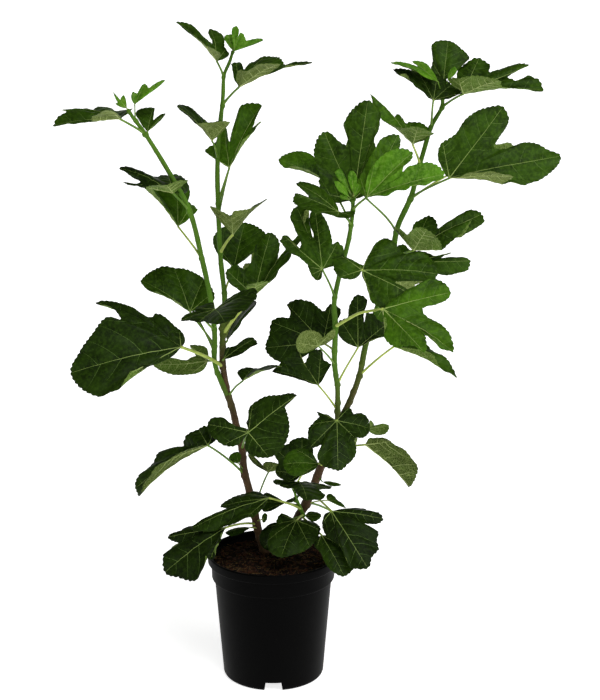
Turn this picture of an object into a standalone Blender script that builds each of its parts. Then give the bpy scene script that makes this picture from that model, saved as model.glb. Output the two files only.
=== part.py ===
"""Young fig tree in a nursery pot: two stems, four boughs and a side shoot, masses of foliage, potting mix and pot.

Metres, +Z up. The origin is the middle of the pot's flat underside, +X is the plant's right as it is seen from the
front, and +Y points away from the front.
"""

import math

import bmesh
import bpy
from mathutils import Matrix, Vector
from mathutils.bvhtree import BVHTree

# ---- sizes -----------------------------------------------------------------
POT_HEIGHT = 0.206
RIM_RADIUS = 0.105
LIP_BOTTOM = 0.1915
LIP_THICK = 0.0045
BAND_RADIUS = 0.0992
BAND_BOTTOM = 0.1655
BODY_TOP_RADIUS = 0.0941
BASE_RADIUS = 0.0812
FOOT_RADIUS = 0.0775
FOOT_CHAMFER = 0.0045
WALL = 0.0020
FLOOR = 0.0030
NOTCH_TOP, NOTCH_BOTTOM, NOTCH_HEIGHT = 0.025, 0.030, 0.0145
NOTCHES = 3
TURN_STEPS = 32
GROUND = 0.1955  # the potting mix's surface where the stems rise from it
MIX_EDGE_DROP = 0.0035
GAP = 0.0004  # between pieces that touch

LEAF_THICK = 0.0040
PETIOLE_RADIUS = 0.0017
LOBE_HALF = math.radians(9.0)
SHOULDER = 0.80  # a lobe's reach at its shoulders, as a share of its tip's
END_SHOULDER = 0.55
SINUS = 0.72  # how far the gaps between lobes stay out from the junction
LEAST_FACING = 0.12  # a facet turned further than this from its blade's mean normal is left out
LEAF_DEPTH = 1.5  # leaves lie this much deeper about their petiole's foot than their readings below

# The tree's places are read off its front view: across, down and behind the pot's axis in millimetres.
EYE = Vector((0.0433, -2.70, 1.25))
EYE_DOWN = math.radians(14.7)
EYE_SCALE = 1787.0
AHEAD = Vector((0.0, math.cos(EYE_DOWN), -math.sin(EYE_DOWN)))
ACROSS = Vector((1.0, 0.0, 0.0))
UPWARD = Vector((0.0, math.sin(EYE_DOWN), math.cos(EYE_DOWN)))


def seen(x, y, behind):
    ray = AHEAD + ACROSS * ((x - 300.0) / EYE_SCALE) - UPWARD * ((y - 350.0) / EYE_SCALE)
    return EYE + ray * ((behind * 0.001 - EYE.y) / ray.y)


def shows(p):
    v = p - EYE
    f = v.dot(AHEAD)
    return 300.0 + EYE_SCALE * v.dot(ACROSS) / f, 350.0 - EYE_SCALE * v.dot(UPWARD) / f


# ---- limbs: bends from foot to tip, radii in mm, length of the tip that belongs to the last mass of leaves in mm
LIMBS = {
    "left_stem": dict(bends=((267, 558, 26), (254.7, 514.7, 23), (244, 470, 15), (236.5, 426, 9), (227.5, 394.5, 6)),
                      foot=6.8, tip=5.4, flare=1.8),
    "right_stem": dict(bends=((283, 558, 26), (297, 519, 25), (314, 485, 18), (331, 442, 10), (338, 424, 6)),
                       foot=7.4, tip=5.8, flare=1.6),
    "left_bough_inner": dict(bends=((227.5, 394.5, 6), (222.8, 364, 8), (223, 318, 14), (220.5, 257, 22),
                                    (217.5, 165, 34), (224, 76, 44), (233, 51, 48)),
                             foot=5.0, tip=2.2, shoot=14),
    "left_bough_outer": dict(bends=((227.5, 394.5, 6), (214.5, 361, -1), (211, 301, -11), (190, 212, -27),
                                    (146, 135, -47), (128, 109.5, -55)),
                             foot=4.6, tip=2.4, shoot=24),
    "right_bough_inner": dict(bends=((338, 424, 6), (337.5, 388, -3), (335, 328, -14), (339.5, 275, -24),
                                     (352.4, 215, -38), (352.8, 198, -44)),
                              foot=4.8, tip=2.6, shoot=13),
    "right_bough_outer": dict(bends=((338, 424, 6), (351.4, 397.7, 14), (366, 344, 31), (391, 263, 53),
                                     (411, 197, 64), (431, 127, 78), (442.5, 96, 82)),
                              foot=4.9, tip=2.6, shoot=16),
    "side_shoot": dict(bends=((303.5, 516, 15), (297, 500, 0), (293.5, 489, -6)), foot=2.6, tip=1.9, shoot=12),
}
PARENTS = {"left_bough_inner": ("left_stem",), "left_bough_outer": ("left_stem", "left_bough_inner"),
           "right_bough_inner": ("right_stem",), "right_bough_outer": ("right_stem", "right_bough_inner"),
           "side_shoot": ("right_stem",)}


# ---- leaves: foot of the petiole, where the petiole meets the blade, and the lobes' tips in turn round the blade
def leaf(foot, blade, *lobes, bend=None, sinus=SINUS, twig=None):
    """twig: the leaf grows from another leaf's petiole in its mass, given by its place and the share along it."""
    return dict(foot=foot, blade=blade, lobes=lobes, bend=bend, sinus=sinus, twig=twig)


FOLIAGE = (
    ("left_bough_outer", (
        (leaf((211.5, 346), (190, 312, 6), (211, 303, -4), (203, 278.6, 20), (169, 266, 29), (142.6, 279, 8), (162, 293, -12)),
         leaf((211.5, 346), (184, 298, 64), (196, 288, 12), (178, 276, 20), (160, 280, 10), (170, 291, -14), twig=(0, 0.2))),
        (leaf((213.6, 329.5), (215, 309.5, -62), (214, 302.5, 22), (181.5, 318.3, -14), (224, 320, -62), (253.3, 299, -26),
              (240, 290, 24), bend=(204, 320, -32)),),
        (leaf((201, 259), (178, 226.5, 0), (196.5, 209, 8), (176, 174, 40), (146, 187.5, 12), (165, 205, -16)),),
        (leaf((190, 211), (173, 193, -42), (188, 190, 26), (168, 174, 50), (120, 165, 42), (124.5, 181.5, 16), (166, 183, -28)),),
        (leaf((145, 133.5), (120, 119, -60), (131, 107.5, 38), (104, 104, 62), (63, 107, 60), (54, 123.5, 0), (110, 109.5, -45)),
         leaf((146, 134.5), (147.5, 132, -50), (165.3, 113.5, 14), (153.5, 107, 30), (136.5, 116, 14), twig=(0, 0.22))),
        (leaf((135.7, 121), (134.7, 104.5, -50), (164.8, 80, 10), (144.5, 83.5, 16), (131.5, 99, 2)),
         leaf((129, 111), (126.8, 108.3, -55), (123.2, 95.3, 4), (113.7, 91.5, 6))),
    )),
    ("left_bough_inner", (
        (leaf((220.5, 367), (181, 347, -40), (176, 327, 18), (156, 315, 28), (97.8, 299.9, 44), (71.2, 371.5, -18),
              (105, 393.2, -40), (155, 364.3, -16)),),
        (leaf((221.5, 364), (208, 361, 34), (204, 369, -6), (180, 375, -14), (154, 365.3, -2), (190, 346, 20)),),
        (leaf((221, 361), (223.5, 359.3, -8), (238, 355.5, -2), (256.8, 343, 8), (243, 339.5, 14)),),
        (leaf((227.4, 335), (254.5, 296, -6), (270, 280.5, -22), (312, 219, 26), (274, 236, 26), (227.3, 271, 14)),
         leaf((224.6, 347), (227.5, 340.5, 16), (254.5, 304, -8), (231, 315, 44), twig=(0, 0.15)),
         leaf((227.4, 335), (256, 284, 84), (268, 266, 20), (256, 254, 34), (244, 272, 16), twig=(0, 0.25))),
        (leaf((226, 293), (234, 267.8, 42), (266.3, 239.2, 4), (244.5, 222.5, 24), (222, 228.5, 18), (214, 238, 8)),),
        (leaf((222.5, 253.5), (232.6, 235, 0), (210.3, 207, -4), (249, 209, -12), (265.3, 198.3, 4), (243, 214, 36)),),
        (leaf((219.5, 204), (229.4, 167.6, 24), (259.6, 121.3, 6), (260, 104.3, 22), (240, 107, 20), (224, 128, 24),
              (204.4, 151.5, 16)),
         leaf((219.5, 204), (234, 152, 92), (244, 134, 16), (238, 118, 30), (227, 134, 24), twig=(0, 0.2))),
        (leaf((216.8, 159.4), (212, 141, 8), (222, 121, 22), (181, 104.5, 6), (212, 122, -24), (229.5, 121.2, -22)),),
        (leaf((224, 106), (239, 87.2, 40), (238, 71.5, -20), (270, 62, -42), (310, 59.3, 0), (264, 55, 48), (236, 60.3, 40)),),
        (leaf((223.5, 76.5), (216.8, 61.2, 34), (229.4, 53.5, 18), (213, 28.5, 48), (177.5, 20.8, 8), (208, 45, -20)),),
        (leaf((233, 52), (233.6, 51.5, 46), (263.3, 40, 4), (241.3, 32.5, 8), (228, 34.5, 8)),
         leaf((233, 52), (234, 49, 42), (239, 31, 2), (235.5, 26.3, 4))),
    )),
    ("left_stem", (
        (leaf((255.5, 524.5), (225.2, 527.8, -30), (188, 526.5, 18), (168, 536.5, 14), (164.5, 568, -9), (196, 578.3, -26),
              (213, 550, -32)),
         leaf((257, 529), (250.5, 527.5, 6), (240, 527.3, 6), (225.5, 532, -2), (243, 532.5, -6), twig=(0, 0.2)),
         leaf((255.5, 524.5), (203, 535, 56), (192, 532, 22), (180, 546, 26), (188, 562, 6), (200, 556, -8), twig=(0, 0.3))),
        (leaf((255, 512), (268.3, 472.4, 30), (247.8, 454.3, 0), (266, 461.8, -6), (283, 467.2, 0)),),
        (leaf((241, 476.5), (208, 445.5, -30), (207, 427, 26), (163, 449, 26), (135, 489, -2), (188, 449, -18)),),
        (leaf((244, 449), (248.4, 432.6, -34), (264, 457, -18), (286, 434, -12), (295.6, 395.3, 4), (260, 399, 16),
              (214, 420, 11), (234, 446, -8)),
         leaf((244, 449), (264, 424, 74), (273, 442, 6), (281, 424, 26), (272, 406, 30), (258, 410, 12), twig=(0, 0.3))),
        (leaf((232, 394.8), (242.7, 381, -16), (252, 373, -20), (281, 364.6, 2), (243, 368.5, 24), bend=(235.5, 386.5, -4)),),
    )),
    ("right_stem", (
        (leaf((299.5, 514.5), (321.5, 535, -32), (315, 540.5, -2), (321, 553, -18), (344, 574.6, -40), (353.3, 567, -32),
              bend=(308, 522, 4)),),
        (leaf((313, 497), (331.3, 511, -34), (324.5, 532, -8), (341.3, 546, -28), (360, 567, -47), (377.5, 535, -22),
              (382.6, 518, 2), (345, 509, 12)),
         leaf((313, 497), (346, 520, 82), (344, 538, 0), (358, 550, 22), (369, 532, 34), (358, 514, 22), twig=(0, 0.3))),
        (leaf((321, 466), (318.5, 464, -46), (311, 452, 10), (297, 448.5, 12), (284, 463, -4), (296, 474, -17)),),
        (leaf((328, 450), (365.3, 444.7, -8), (369, 438.7, 10), (411, 459, 12), (410, 485, -8), (383, 452, 28)),),
        (leaf((337, 426), (336.8, 420.6, -30), (319, 411, 13), (309, 440, -12), (332, 469, -39), (356.3, 447.5, -20),
              (370, 427.5, 6), (350, 408, 16)),
         leaf((337, 426), (338, 436, 66), (324, 440, 14), (330, 459, 22), (347, 455, 28), (355, 438, 20), twig=(0, 0.3))),
    )),
    ("side_shoot", (
        (leaf((303, 515), (296.3, 520.3, -22), (277.5, 519, 4), (267.5, 545, -22), (285, 556, -34), (318.5, 534, -12),
              (303, 520, 6)),),
        (leaf((301, 509), (269, 498, -26), (254, 491, 24), (220.6, 505.3, 10), (191.6, 526.5, -6), (235, 522, -18),
              (261, 509, -16)),
         leaf((299.5, 506), (285, 503, 4), (276, 496.5, 10), (263, 496, 10), (264, 511, -8), twig=(0, 0.4))),
        (leaf((294, 490), (302, 474, -22), (313, 452, 14), (300, 437.2, 26), (274, 453, 10), (284, 479.8, -6)),
         leaf((293.6, 489), (299, 482, -42), (274, 479.3, 4), (307, 497.6, -62), (329.7, 487.3, -16), (314, 482.3, 10))),
    )),
    ("right_bough_inner", (
        (leaf((334.8, 411), (318.3, 385.3, -6), (330.6, 365.5, 2), (316, 350, 10), (298, 352, 10), (273.5, 369.5, -4)),),
        (leaf((339, 385), (358, 347.5, 2), (386, 330, 10), (368, 309, 16), (357.5, 295, 22), (338.7, 334, 2)),),
        (leaf((333, 365), (318.5, 346, -52), (301, 353, -6), (296.2, 343, -4), (301, 333.5, 2), (334, 329.5, 10)),),
        (leaf((334.8, 352), (323, 343, 20), (331, 304.7, 12), (296, 300.3, 22), (271, 327, 7), (280, 361, -8), (300, 358, -8)),),
        (leaf((338.5, 326), (383, 309, -88), (374, 312.5, 6), (393.5, 345.6, -20), (423.5, 350.5, -34), (453, 350.3, -28),
              (449.8, 292, 6), (428, 279.3, 12), bend=(359, 312.5, -56)),),
        (leaf((333.6, 298), (322.3, 269.5, -52), (344, 252, 8), (315, 208, 20), (297, 207, 20), (280.8, 241, 4),
              (318, 279.3, -10), sinus=0.62),),
        (leaf((350, 226), (327, 181, 8), (314, 157, 22), (304, 151.3, 26), (279.3, 159.5, 12), (300, 165, -8)),),
        (leaf((350.5, 225), (339, 212.3, -72), (334, 199.5, 14), (303, 180, 22), (293.8, 201, -4), (331, 215, -23)),),
        (leaf((353.5, 210), (367, 197, -62), (402, 189.5, -12), (443.6, 172.5, 6), (411.5, 152.5, 12), (391, 151, 12),
              (366, 186, 2)),),
        (leaf((352.8, 203), (353.6, 199.5, -30), (384, 172, 4), (379.7, 118, 22), (367.7, 101, 26), (324, 132.4, 22),
              (314.5, 150, 18), (321, 187, 2)),
         leaf((352.8, 203), (350, 168, 66), (370, 164, 10), (364, 140, 30), (344, 132, 38), (330, 152, 26), twig=(0, 0.5))),
    )),
    ("right_bough_outer", (
        (leaf((360, 376.5), (394, 346.5, 14), (424, 350, -8), (457.2, 375.7, 0), (412, 334, 24), (398, 332, 24)),),
        (leaf((391, 266), (412, 264, 44), (454, 273.4, 0), (470.2, 262, 6), (451.3, 251.3, 14), (403, 245, 22)),),
        (leaf((391, 263), (362, 270.2, -34), (370, 289, -10), (378, 306, -22), (410, 305, -31), (436.5, 268, -4),
              (390, 239, 20), (335, 260, 9), (343, 277.5, -4)),
         leaf((391, 263), (398, 274, 120), (390, 292, 10), (406, 298, 26), (421, 272, 36), (402, 258, 26), twig=(0, 0.45))),
        (leaf((392, 260), (413.5, 250.4, 26), (392.6, 227.3, -14), (427, 229, -32), (441.5, 249.3, -14), (470.3, 218.5, -6),
              (478, 211, 13), (428, 215, 34)),),
        (leaf((394.5, 232), (366.6, 198.5, -10), (384, 178, 2), (397.8, 135.2, 22), (376, 148, 14)),),
        (leaf((412.5, 198.6), (449.3, 178.2, 30), (502, 173, -16), (560.6, 155.7, 22), (521, 143, 20), (500, 107.5, 25),
              (466, 119.5, 18), (440, 150, 6)),
         leaf((412.5, 198.6), (468, 164, 128), (500, 168, 6), (512, 150, 30), (490, 132, 40), (464, 140, 22), twig=(0, 0.3))),
        (leaf((418, 164), (412.8, 144.4, 50), (431, 131.5, 22), (400.3, 113.4, 28), (372.6, 92.6, 6), (408, 127, -24),
              (433.5, 133.8, -22)),),
        (leaf((431, 128), (433.4, 100.6, 62), (461.5, 92.8, 0), (432, 73, 26), (395, 68.6, 4), (420, 90, -8)),),
        (leaf((443, 107.5), (463.3, 94, 72), (490, 77, -32), (542.4, 87.6, -2), (529, 65.3, 18), (479, 57.6, 34), (457, 74, 20)),),
        (leaf((442.5, 97), (443.5, 82, 88), (468.6, 58.3, 10), (448, 40.3, 20), (431.7, 45.5, 18), (432, 72, 6)),
         leaf((440.5, 99), (438, 81.5, 66), (428, 64, 26), (413.5, 60.4, 22), (392.3, 61.2, 0), (414, 69, -12))),
    )),
)

COLOURS = {
    "pot_black": ((0.018, 0.018, 0.020, 1.0), 0.42),
    "potting_mix": ((0.045, 0.022, 0.012, 1.0), 0.95),
    "bark": ((0.110, 0.160, 0.045, 1.0), 0.75),
    "leaf_green": ((0.045, 0.140, 0.028, 1.0), 0.50),
}


# ---- tools -----------------------------------------------------------------
for old in list(bpy.data.objects):
    bpy.data.objects.remove(old, do_unlink=True)
home = bpy.data.collections.new("potted_fig_tree")
bpy.context.scene.collection.children.link(home)

MATERIALS = {}
for slot, (colour, rough) in COLOURS.items():
    m = bpy.data.materials.new(slot)
    m.use_nodes = True
    shader = m.node_tree.nodes["Principled BSDF"]
    shader.inputs["Base Color"].default_value = colour
    shader.inputs["Roughness"].default_value = rough
    MATERIALS[slot] = m


def fresh(name, bm):
    mesh = bpy.data.meshes.new(name)
    bm.to_mesh(mesh)
    bm.free()
    ob = bpy.data.objects.new(name, mesh)
    home.objects.link(ob)
    return ob


def settle(ob):
    """The object's modifiers worked into its mesh."""
    bpy.context.view_layer.update()
    mesh = bpy.data.meshes.new_from_object(ob.evaluated_get(bpy.context.evaluated_depsgraph_get()))
    name = ob.name
    bpy.data.objects.remove(ob, do_unlink=True)
    ob = bpy.data.objects.new(name, mesh)
    home.objects.link(ob)
    return ob


def combine(ob, other, operation, keep_other=False, solver="EXACT"):
    """A Boolean of two solids; the folded leaves' need the MANIFOLD solver, where EXACT leaves edges of three faces."""
    mod = ob.modifiers.new("join", "BOOLEAN")
    mod.operation = operation
    mod.solver = solver
    mod.object = other
    ob = settle(ob)
    if not keep_other:
        bpy.data.objects.remove(other, do_unlink=True)
    return ob


def tidy(ob, weld=True):
    """Only the largest body of the mesh, facing outward."""
    bm = bmesh.new()
    bm.from_mesh(ob.data)
    if weld:
        bmesh.ops.remove_doubles(bm, verts=bm.verts, dist=2e-6)
    bodies, left = [], set(bm.verts)
    while left:
        stack, body = [left.pop()], set()
        while stack:
            v = stack.pop()
            body.add(v)
            for e in v.link_edges:
                w = e.other_vert(v)
                if w in left:
                    left.discard(w)
                    stack.append(w)
        bodies.append(body)
    bodies.sort(key=lambda b: sum(f.calc_area() for f in {f for v in b for f in v.link_faces}))
    for body in bodies[:-1]:
        bmesh.ops.delete(bm, geom=list(body), context="VERTS")
    if weld:
        bmesh.ops.triangulate(bm, faces=bm.faces)
        bmesh.ops.recalc_face_normals(bm, faces=bm.faces)
    bm.to_mesh(ob.data)
    bm.free()
    return ob


def tree_of(ob):
    return BVHTree.FromPolygons([v.co.copy() for v in ob.data.vertices], [tuple(p.vertices) for p in ob.data.polygons])


def tube(name, points, radii, sides=2):
    """A round limb through points, closed by flat ends."""
    curve = bpy.data.curves.new(name, "CURVE")
    curve.dimensions = "3D"
    curve.bevel_depth = 1.0
    curve.bevel_resolution = sides
    curve.use_fill_caps = True
    line = curve.splines.new("POLY")
    line.points.add(len(points) - 1)
    for spot, p, r in zip(line.points, points, radii):
        spot.co = (p.x, p.y, p.z, 1.0)
        spot.radius = r
    ob = bpy.data.objects.new(name, curve)
    home.objects.link(ob)
    ob = settle(ob)
    bm = bmesh.new()
    bm.from_mesh(ob.data)
    bmesh.ops.remove_doubles(bm, verts=bm.verts, dist=1e-5)
    bmesh.ops.recalc_face_normals(bm, faces=bm.faces)
    bm.to_mesh(ob.data)
    bm.free()
    return ob


def turned(name, profile):
    """A solid turned round Z from its closed outline in the XZ plane."""
    bm = bmesh.new()
    spots = [bm.verts.new((r, 0.0, z)) for r, z in profile]
    for a, b in zip(spots, spots[1:]):
        bm.edges.new((a, b))
    ob = fresh(name, bm)
    mod = ob.modifiers.new("turn", "SCREW")
    mod.axis = "Z"
    mod.steps = mod.render_steps = TURN_STEPS
    mod.use_merge_vertices = True
    mod.merge_threshold = 0.00005
    mod.use_normal_calculate = True
    return tidy(settle(ob))


# ---- limbs -----------------------------------------------------------------
def smooth(points, spans):
    """A curve through every point."""
    p = [points[0] * 2 - points[1], *points, points[-1] * 2 - points[-2]]
    out = []
    for a, b, c, d in zip(p, p[1:], p[2:], p[3:]):
        for k in range(spans):
            t = k / spans
            out.append((b * 2 + (c - a) * t + (a * 2 - b * 5 + c * 4 - d) * t ** 2 + (b * 3 - a - c * 3 + d) * t ** 3) * 0.5)
    out.append(points[-1])
    return out


class Limb:
    def __init__(self, name, bends, foot, tip, flare=0.0, shoot=0.0):
        self.name, self.shoot = name, shoot * 0.001
        self.line = smooth([seen(*b) for b in bends], 2)
        if flare:  # a stem is cut flat at the ground
            self.line[0] = Vector((self.line[0].x, self.line[0].y, GROUND - 0.004))
        self.along = [0.0]
        for a, b in zip(self.line, self.line[1:]):
            self.along.append(self.along[-1] + (b - a).length)
        self.length = self.along[-1]
        self.foot, self.tip, self.flare = foot, tip, flare

    def point(self, s):
        for a, b, s0, s1 in zip(self.line, self.line[1:], self.along, self.along[1:]):
            if s <= s1:
                return a.lerp(b, (s - s0) / (s1 - s0))
        return self.line[-1].copy()

    def radius(self, s):
        return 0.001 * (self.foot + (self.tip - self.foot) * s / self.length + self.flare * math.exp(-s / 0.018))

    def piece(self, name, start, end, grow=0.0):
        stops = [start] + [s for s in self.along if start + 0.004 < s < end - 0.004] + [end]
        if self.flare and start < 0.01:
            stops = sorted(stops + [0.009, 0.018])
        return tube(name, [self.point(s) for s in stops], [self.radius(s) + grow for s in stops])

    def nearest(self, x, y):
        return min((k * self.length / 400 for k in range(401)),
                   key=lambda s: (shows(self.point(s))[0] - x) ** 2 + (shows(self.point(s))[1] - y) ** 2)


limbs = {name: Limb(name, **size) for name, size in LIMBS.items()}
solids, fat = {}, {}
for name, limb in limbs.items():
    end = limb.length - limb.shoot
    ob = limb.piece(name, 0.0, end - (GAP if limb.shoot else 0.0))
    for parent in PARENTS.get(name, ()):
        ob = combine(ob, fat[parent], "DIFFERENCE", keep_other=True)
    solids[name] = ob
    fat[name] = limb.piece("fat_" + name, 0.0, end, GAP)
    if name in ("left_stem", "right_stem"):  # the stem's own boughs stand clear of its end
        bpy.data.objects.remove(fat[name], do_unlink=True)
        way = (limb.line[-1] - limb.line[-2]).normalized()
        stops = [s for s in limb.along]
        fat[name] = tube("fat_" + name, [limb.point(s) for s in stops] + [limb.line[-1] + way * GAP],
                         [limb.radius(s) + GAP for s in stops] + [limb.radius(limb.length) + GAP])

bm = bmesh.new()
bmesh.ops.create_cube(bm, size=0.12)
below = fresh("below", bm)
below.location = (0.0, 0.0, GROUND + 0.0003 - 0.06)
for name in ("left_stem", "right_stem"):
    solids[name] = combine(solids[name], below, "DIFFERENCE", keep_other=True)
bpy.data.objects.remove(below, do_unlink=True)
for name in limbs:
    tidy(solids[name])


# ---- foliage ---------------------------------------------------------------
def turn_to(a, b, angle):
    """Unit direction a turned by angle towards b, or away from it."""
    side = (b - a * a.dot(b))
    side = side.normalized() if side.length > 1e-6 else a.orthogonal().normalized()
    return a * math.cos(angle) + side * math.sin(angle)


def rim_of(junction, tips, sinus):
    """The blade's outline: shoulders beside each lobe's tip, and a gap between lobes."""
    arms = [t - junction for t in tips]
    ways = [a.normalized() for a in arms]
    reach = [a.length for a in arms]
    rim = [junction + turn_to(ways[0], ways[1], -LOBE_HALF) * reach[0] * END_SHOULDER]
    total = 0.0
    for i, (way, far) in enumerate(zip(ways, reach)):
        rim.append(tips[i])
        if i + 1 == len(ways):
            break
        gap = way.angle(ways[i + 1])
        total += gap
        if gap > 5.0 * LOBE_HALF:
            rim.append(junction + turn_to(way, ways[i + 1], LOBE_HALF) * far * SHOULDER)
        if gap > 1.3 * LOBE_HALF:
            share = 1.0 - (1.0 - sinus) * min(1.0, gap / math.radians(40.0))
            rim.append(junction + turn_to(way, ways[i + 1], gap / 2) * share * 0.5 * (far + reach[i + 1]))
        if gap > 5.0 * LOBE_HALF:
            rim.append(junction + turn_to(ways[i + 1], way, LOBE_HALF) * reach[i + 1] * SHOULDER)
    rim.append(junction + turn_to(ways[-1], ways[-2], -LOBE_HALF) * reach[-1] * END_SHOULDER)
    mean = Vector((0.0, 0.0, 0.0))
    for a in arms:
        mean += a / len(arms)
    return rim, mean, total


def facets(rim, middle):
    """The blade's mean normal, and how far each facet of its fan faces along it."""
    turns = [(a - middle).cross(b - middle) for a, b in zip(rim, rim[1:] + rim[:1])]
    up = Vector((0.0, 0.0, 0.0))
    for t in turns:
        up += t
    up.normalize()
    return up, [t.dot(up) / max(t.length, 1e-12) if t.length > 4e-6 else -1.0 for t in turns]


def unfolded(rim, middle):
    """The outline without the corners that fold under the blade."""
    def faults(line):
        facing = facets(line, middle)[1]
        return sum(1 for f in facing if f < LEAST_FACING), -sum(f for f in facing if f > 0.0)

    while len(rim) > 5 and faults(rim)[0]:
        rim = min((rim[:k] + rim[k + 1:] for k in range(len(rim))), key=faults)
    return rim


def blade(name, junction, tips, sinus, grow):
    rim, mean, total = rim_of(junction, tips, sinus)
    if total > math.radians(200.0):
        middle = junction
        rim.append(junction - mean.normalized() * 0.004 if mean.length > 1e-4 else junction + UPWARD * 0.004)
    else:
        middle = junction + mean * 0.5
        rim.append(junction)
    rim = unfolded(rim, middle)
    bm = bmesh.new()
    bmesh.ops.create_circle(bm, cap_ends=True, cap_tris=True, segments=len(rim), radius=1.0)
    ring = sorted((v for v in bm.verts if v.co.length > 0.5), key=lambda v: math.atan2(v.co.y, v.co.x))
    for v in bm.verts:
        if v not in ring:
            v.co = middle
    for v, p in zip(ring, rim):
        v.co = p + (p - middle).normalized() * grow
    up = facets(rim, middle)[0] * (LEAF_THICK + 2 * grow)
    bmesh.ops.translate(bm, verts=bm.verts, vec=up * -0.5)
    under = list(bm.faces)
    made = bmesh.ops.extrude_face_region(bm, geom=under, use_keep_orig=True)["geom"]
    bmesh.ops.translate(bm, verts=[g for g in made if isinstance(g, bmesh.types.BMVert)], vec=up)
    bmesh.ops.recalc_face_normals(bm, faces=bm.faces)
    return fresh(name, bm)


def deeper(foot, behind):
    """A reading of depth in mm, moved away from that of the petiole's foot."""
    return foot.y * 1000.0 + LEAF_DEPTH * (behind - foot.y * 1000.0)


def stalk_line(limb, row, others):
    """The petiole's way from the limb, or from another leaf's petiole, to its blade."""
    if row["twig"]:
        line = others[row["twig"][0]]
        foot = line[0].lerp(line[-1], row["twig"][1])
    else:
        foot = limb.point(limb.nearest(*row["foot"]))
    x, y, behind = row["blade"]
    junction = seen(x, y, deeper(foot, behind))
    if row["bend"]:
        x, y, behind = row["bend"]
        via = seen(x, y, deeper(foot, behind))
        return [foot, foot.lerp(via, 0.55), via.lerp(foot.lerp(junction, 0.5), 0.15), via.lerp(junction, 0.5), junction]
    return [foot, foot.lerp(junction, 0.5), junction]


def mass(name, limb, leaves, last, grow=0.0):
    parts, lines = [], []
    for row in leaves:
        line = stalk_line(limb, row, lines)
        lines.append(line)
        way = (line[-1] - line[-2]).normalized()
        parts.append(tube("stalk", line + [line[-1] + way * 0.003], [PETIOLE_RADIUS + grow] * (len(line) + 1), sides=0))
        tips = [seen(x, y, line[-1].y * 1000.0 + LEAF_DEPTH * d) for x, y, d in row["lobes"]]
        parts.append(blade("blade", line[-1], tips, row["sinus"], grow))
    if last and limb.shoot:
        parts.append(limb.piece("shoot", limb.length - limb.shoot, limb.length, grow))
    ob = parts[0]
    ob.name = name
    for other in parts[1:]:
        ob = combine(ob, other, "UNION", solver="MANIFOLD")
    return ob


def boxes_meet(a, b, margin=0.001):
    lows = [[min(v.co[k] for v in ob.data.vertices) for k in range(3)] for ob in (a, b)]
    highs = [[max(v.co[k] for v in ob.data.vertices) for k in range(3)] for ob in (a, b)]
    return all(lows[0][k] - margin < highs[1][k] and lows[1][k] - margin < highs[0][k] for k in range(3))


masses = []
for limb_name, rows in FOLIAGE:
    short = limb_name.replace("_bough", "")
    for number, leaves in enumerate(rows, 1):
        name = "foliage_%s_%02d" % (short, number)
        last = number == len(rows)
        ob = mass(name, limbs[limb_name], leaves, last)
        for limb in limbs:
            if boxes_meet(ob, fat[limb]) and tree_of(ob).overlap(tree_of(fat[limb])):
                ob = combine(ob, fat[limb], "DIFFERENCE", keep_other=True, solver="MANIFOLD")
        for other, where, row, end in masses:
            if boxes_meet(ob, other) and tree_of(ob).overlap(tree_of(other)):
                ob = combine(ob, mass("fat", limbs[where], row, end, GAP), "DIFFERENCE", solver="MANIFOLD")
        ob = tidy(ob, weld=False)
        masses.append((ob, limb_name, leaves, last))
        solids[name] = ob

for ob in fat.values():
    bpy.data.objects.remove(ob, do_unlink=True)


# ---- pot and potting mix ---------------------------------------------------
outside = [(RIM_RADIUS - 0.0012, POT_HEIGHT), (RIM_RADIUS, POT_HEIGHT - 0.0012), (RIM_RADIUS - 0.0008, LIP_BOTTOM),
           (BAND_RADIUS, LIP_BOTTOM - 0.0006), (BAND_RADIUS - 0.0006, BAND_BOTTOM),
           (BODY_TOP_RADIUS, BAND_BOTTOM - 0.0022), (BASE_RADIUS, FOOT_CHAMFER),
           (BASE_RADIUS - 0.0014, FOOT_CHAMFER * 0.35), (FOOT_RADIUS, 0.0), (0.0, 0.0)]
inside = [(0.0, FLOOR), (BASE_RADIUS - WALL - 0.0022, FLOOR), (BASE_RADIUS - WALL, FOOT_CHAMFER + 0.001),
          (BODY_TOP_RADIUS - WALL, BAND_BOTTOM - 0.0030), (BAND_RADIUS - WALL, BAND_BOTTOM + 0.0004),
          (BAND_RADIUS - WALL + 0.0003, LIP_BOTTOM), (RIM_RADIUS - LIP_THICK, LIP_BOTTOM + 0.004),
          (RIM_RADIUS - LIP_THICK + 0.0004, POT_HEIGHT - 0.001), (RIM_RADIUS - 0.0030, POT_HEIGHT)]
pot = turned("pot", outside + inside + outside[:1])

for k in range(NOTCHES):  # drainage notches through the foot's edge
    bm = bmesh.new()
    bmesh.ops.create_cube(bm, size=1.0)
    for v in bm.verts:
        wide = NOTCH_TOP if v.co.z > 0 else NOTCH_BOTTOM
        v.co = Vector((v.co.x * wide + 0.001, v.co.y * 0.010 - BASE_RADIUS, (v.co.z + 0.5) * (NOTCH_HEIGHT + 0.002) - 0.002))
    bmesh.ops.rotate(bm, verts=bm.verts, matrix=Matrix.Rotation(2.0 * math.pi * k / NOTCHES, 3, "Z"))
    pot = combine(pot, fresh("notch", bm), "DIFFERENCE")
solids["pot"] = tidy(pot)

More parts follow.
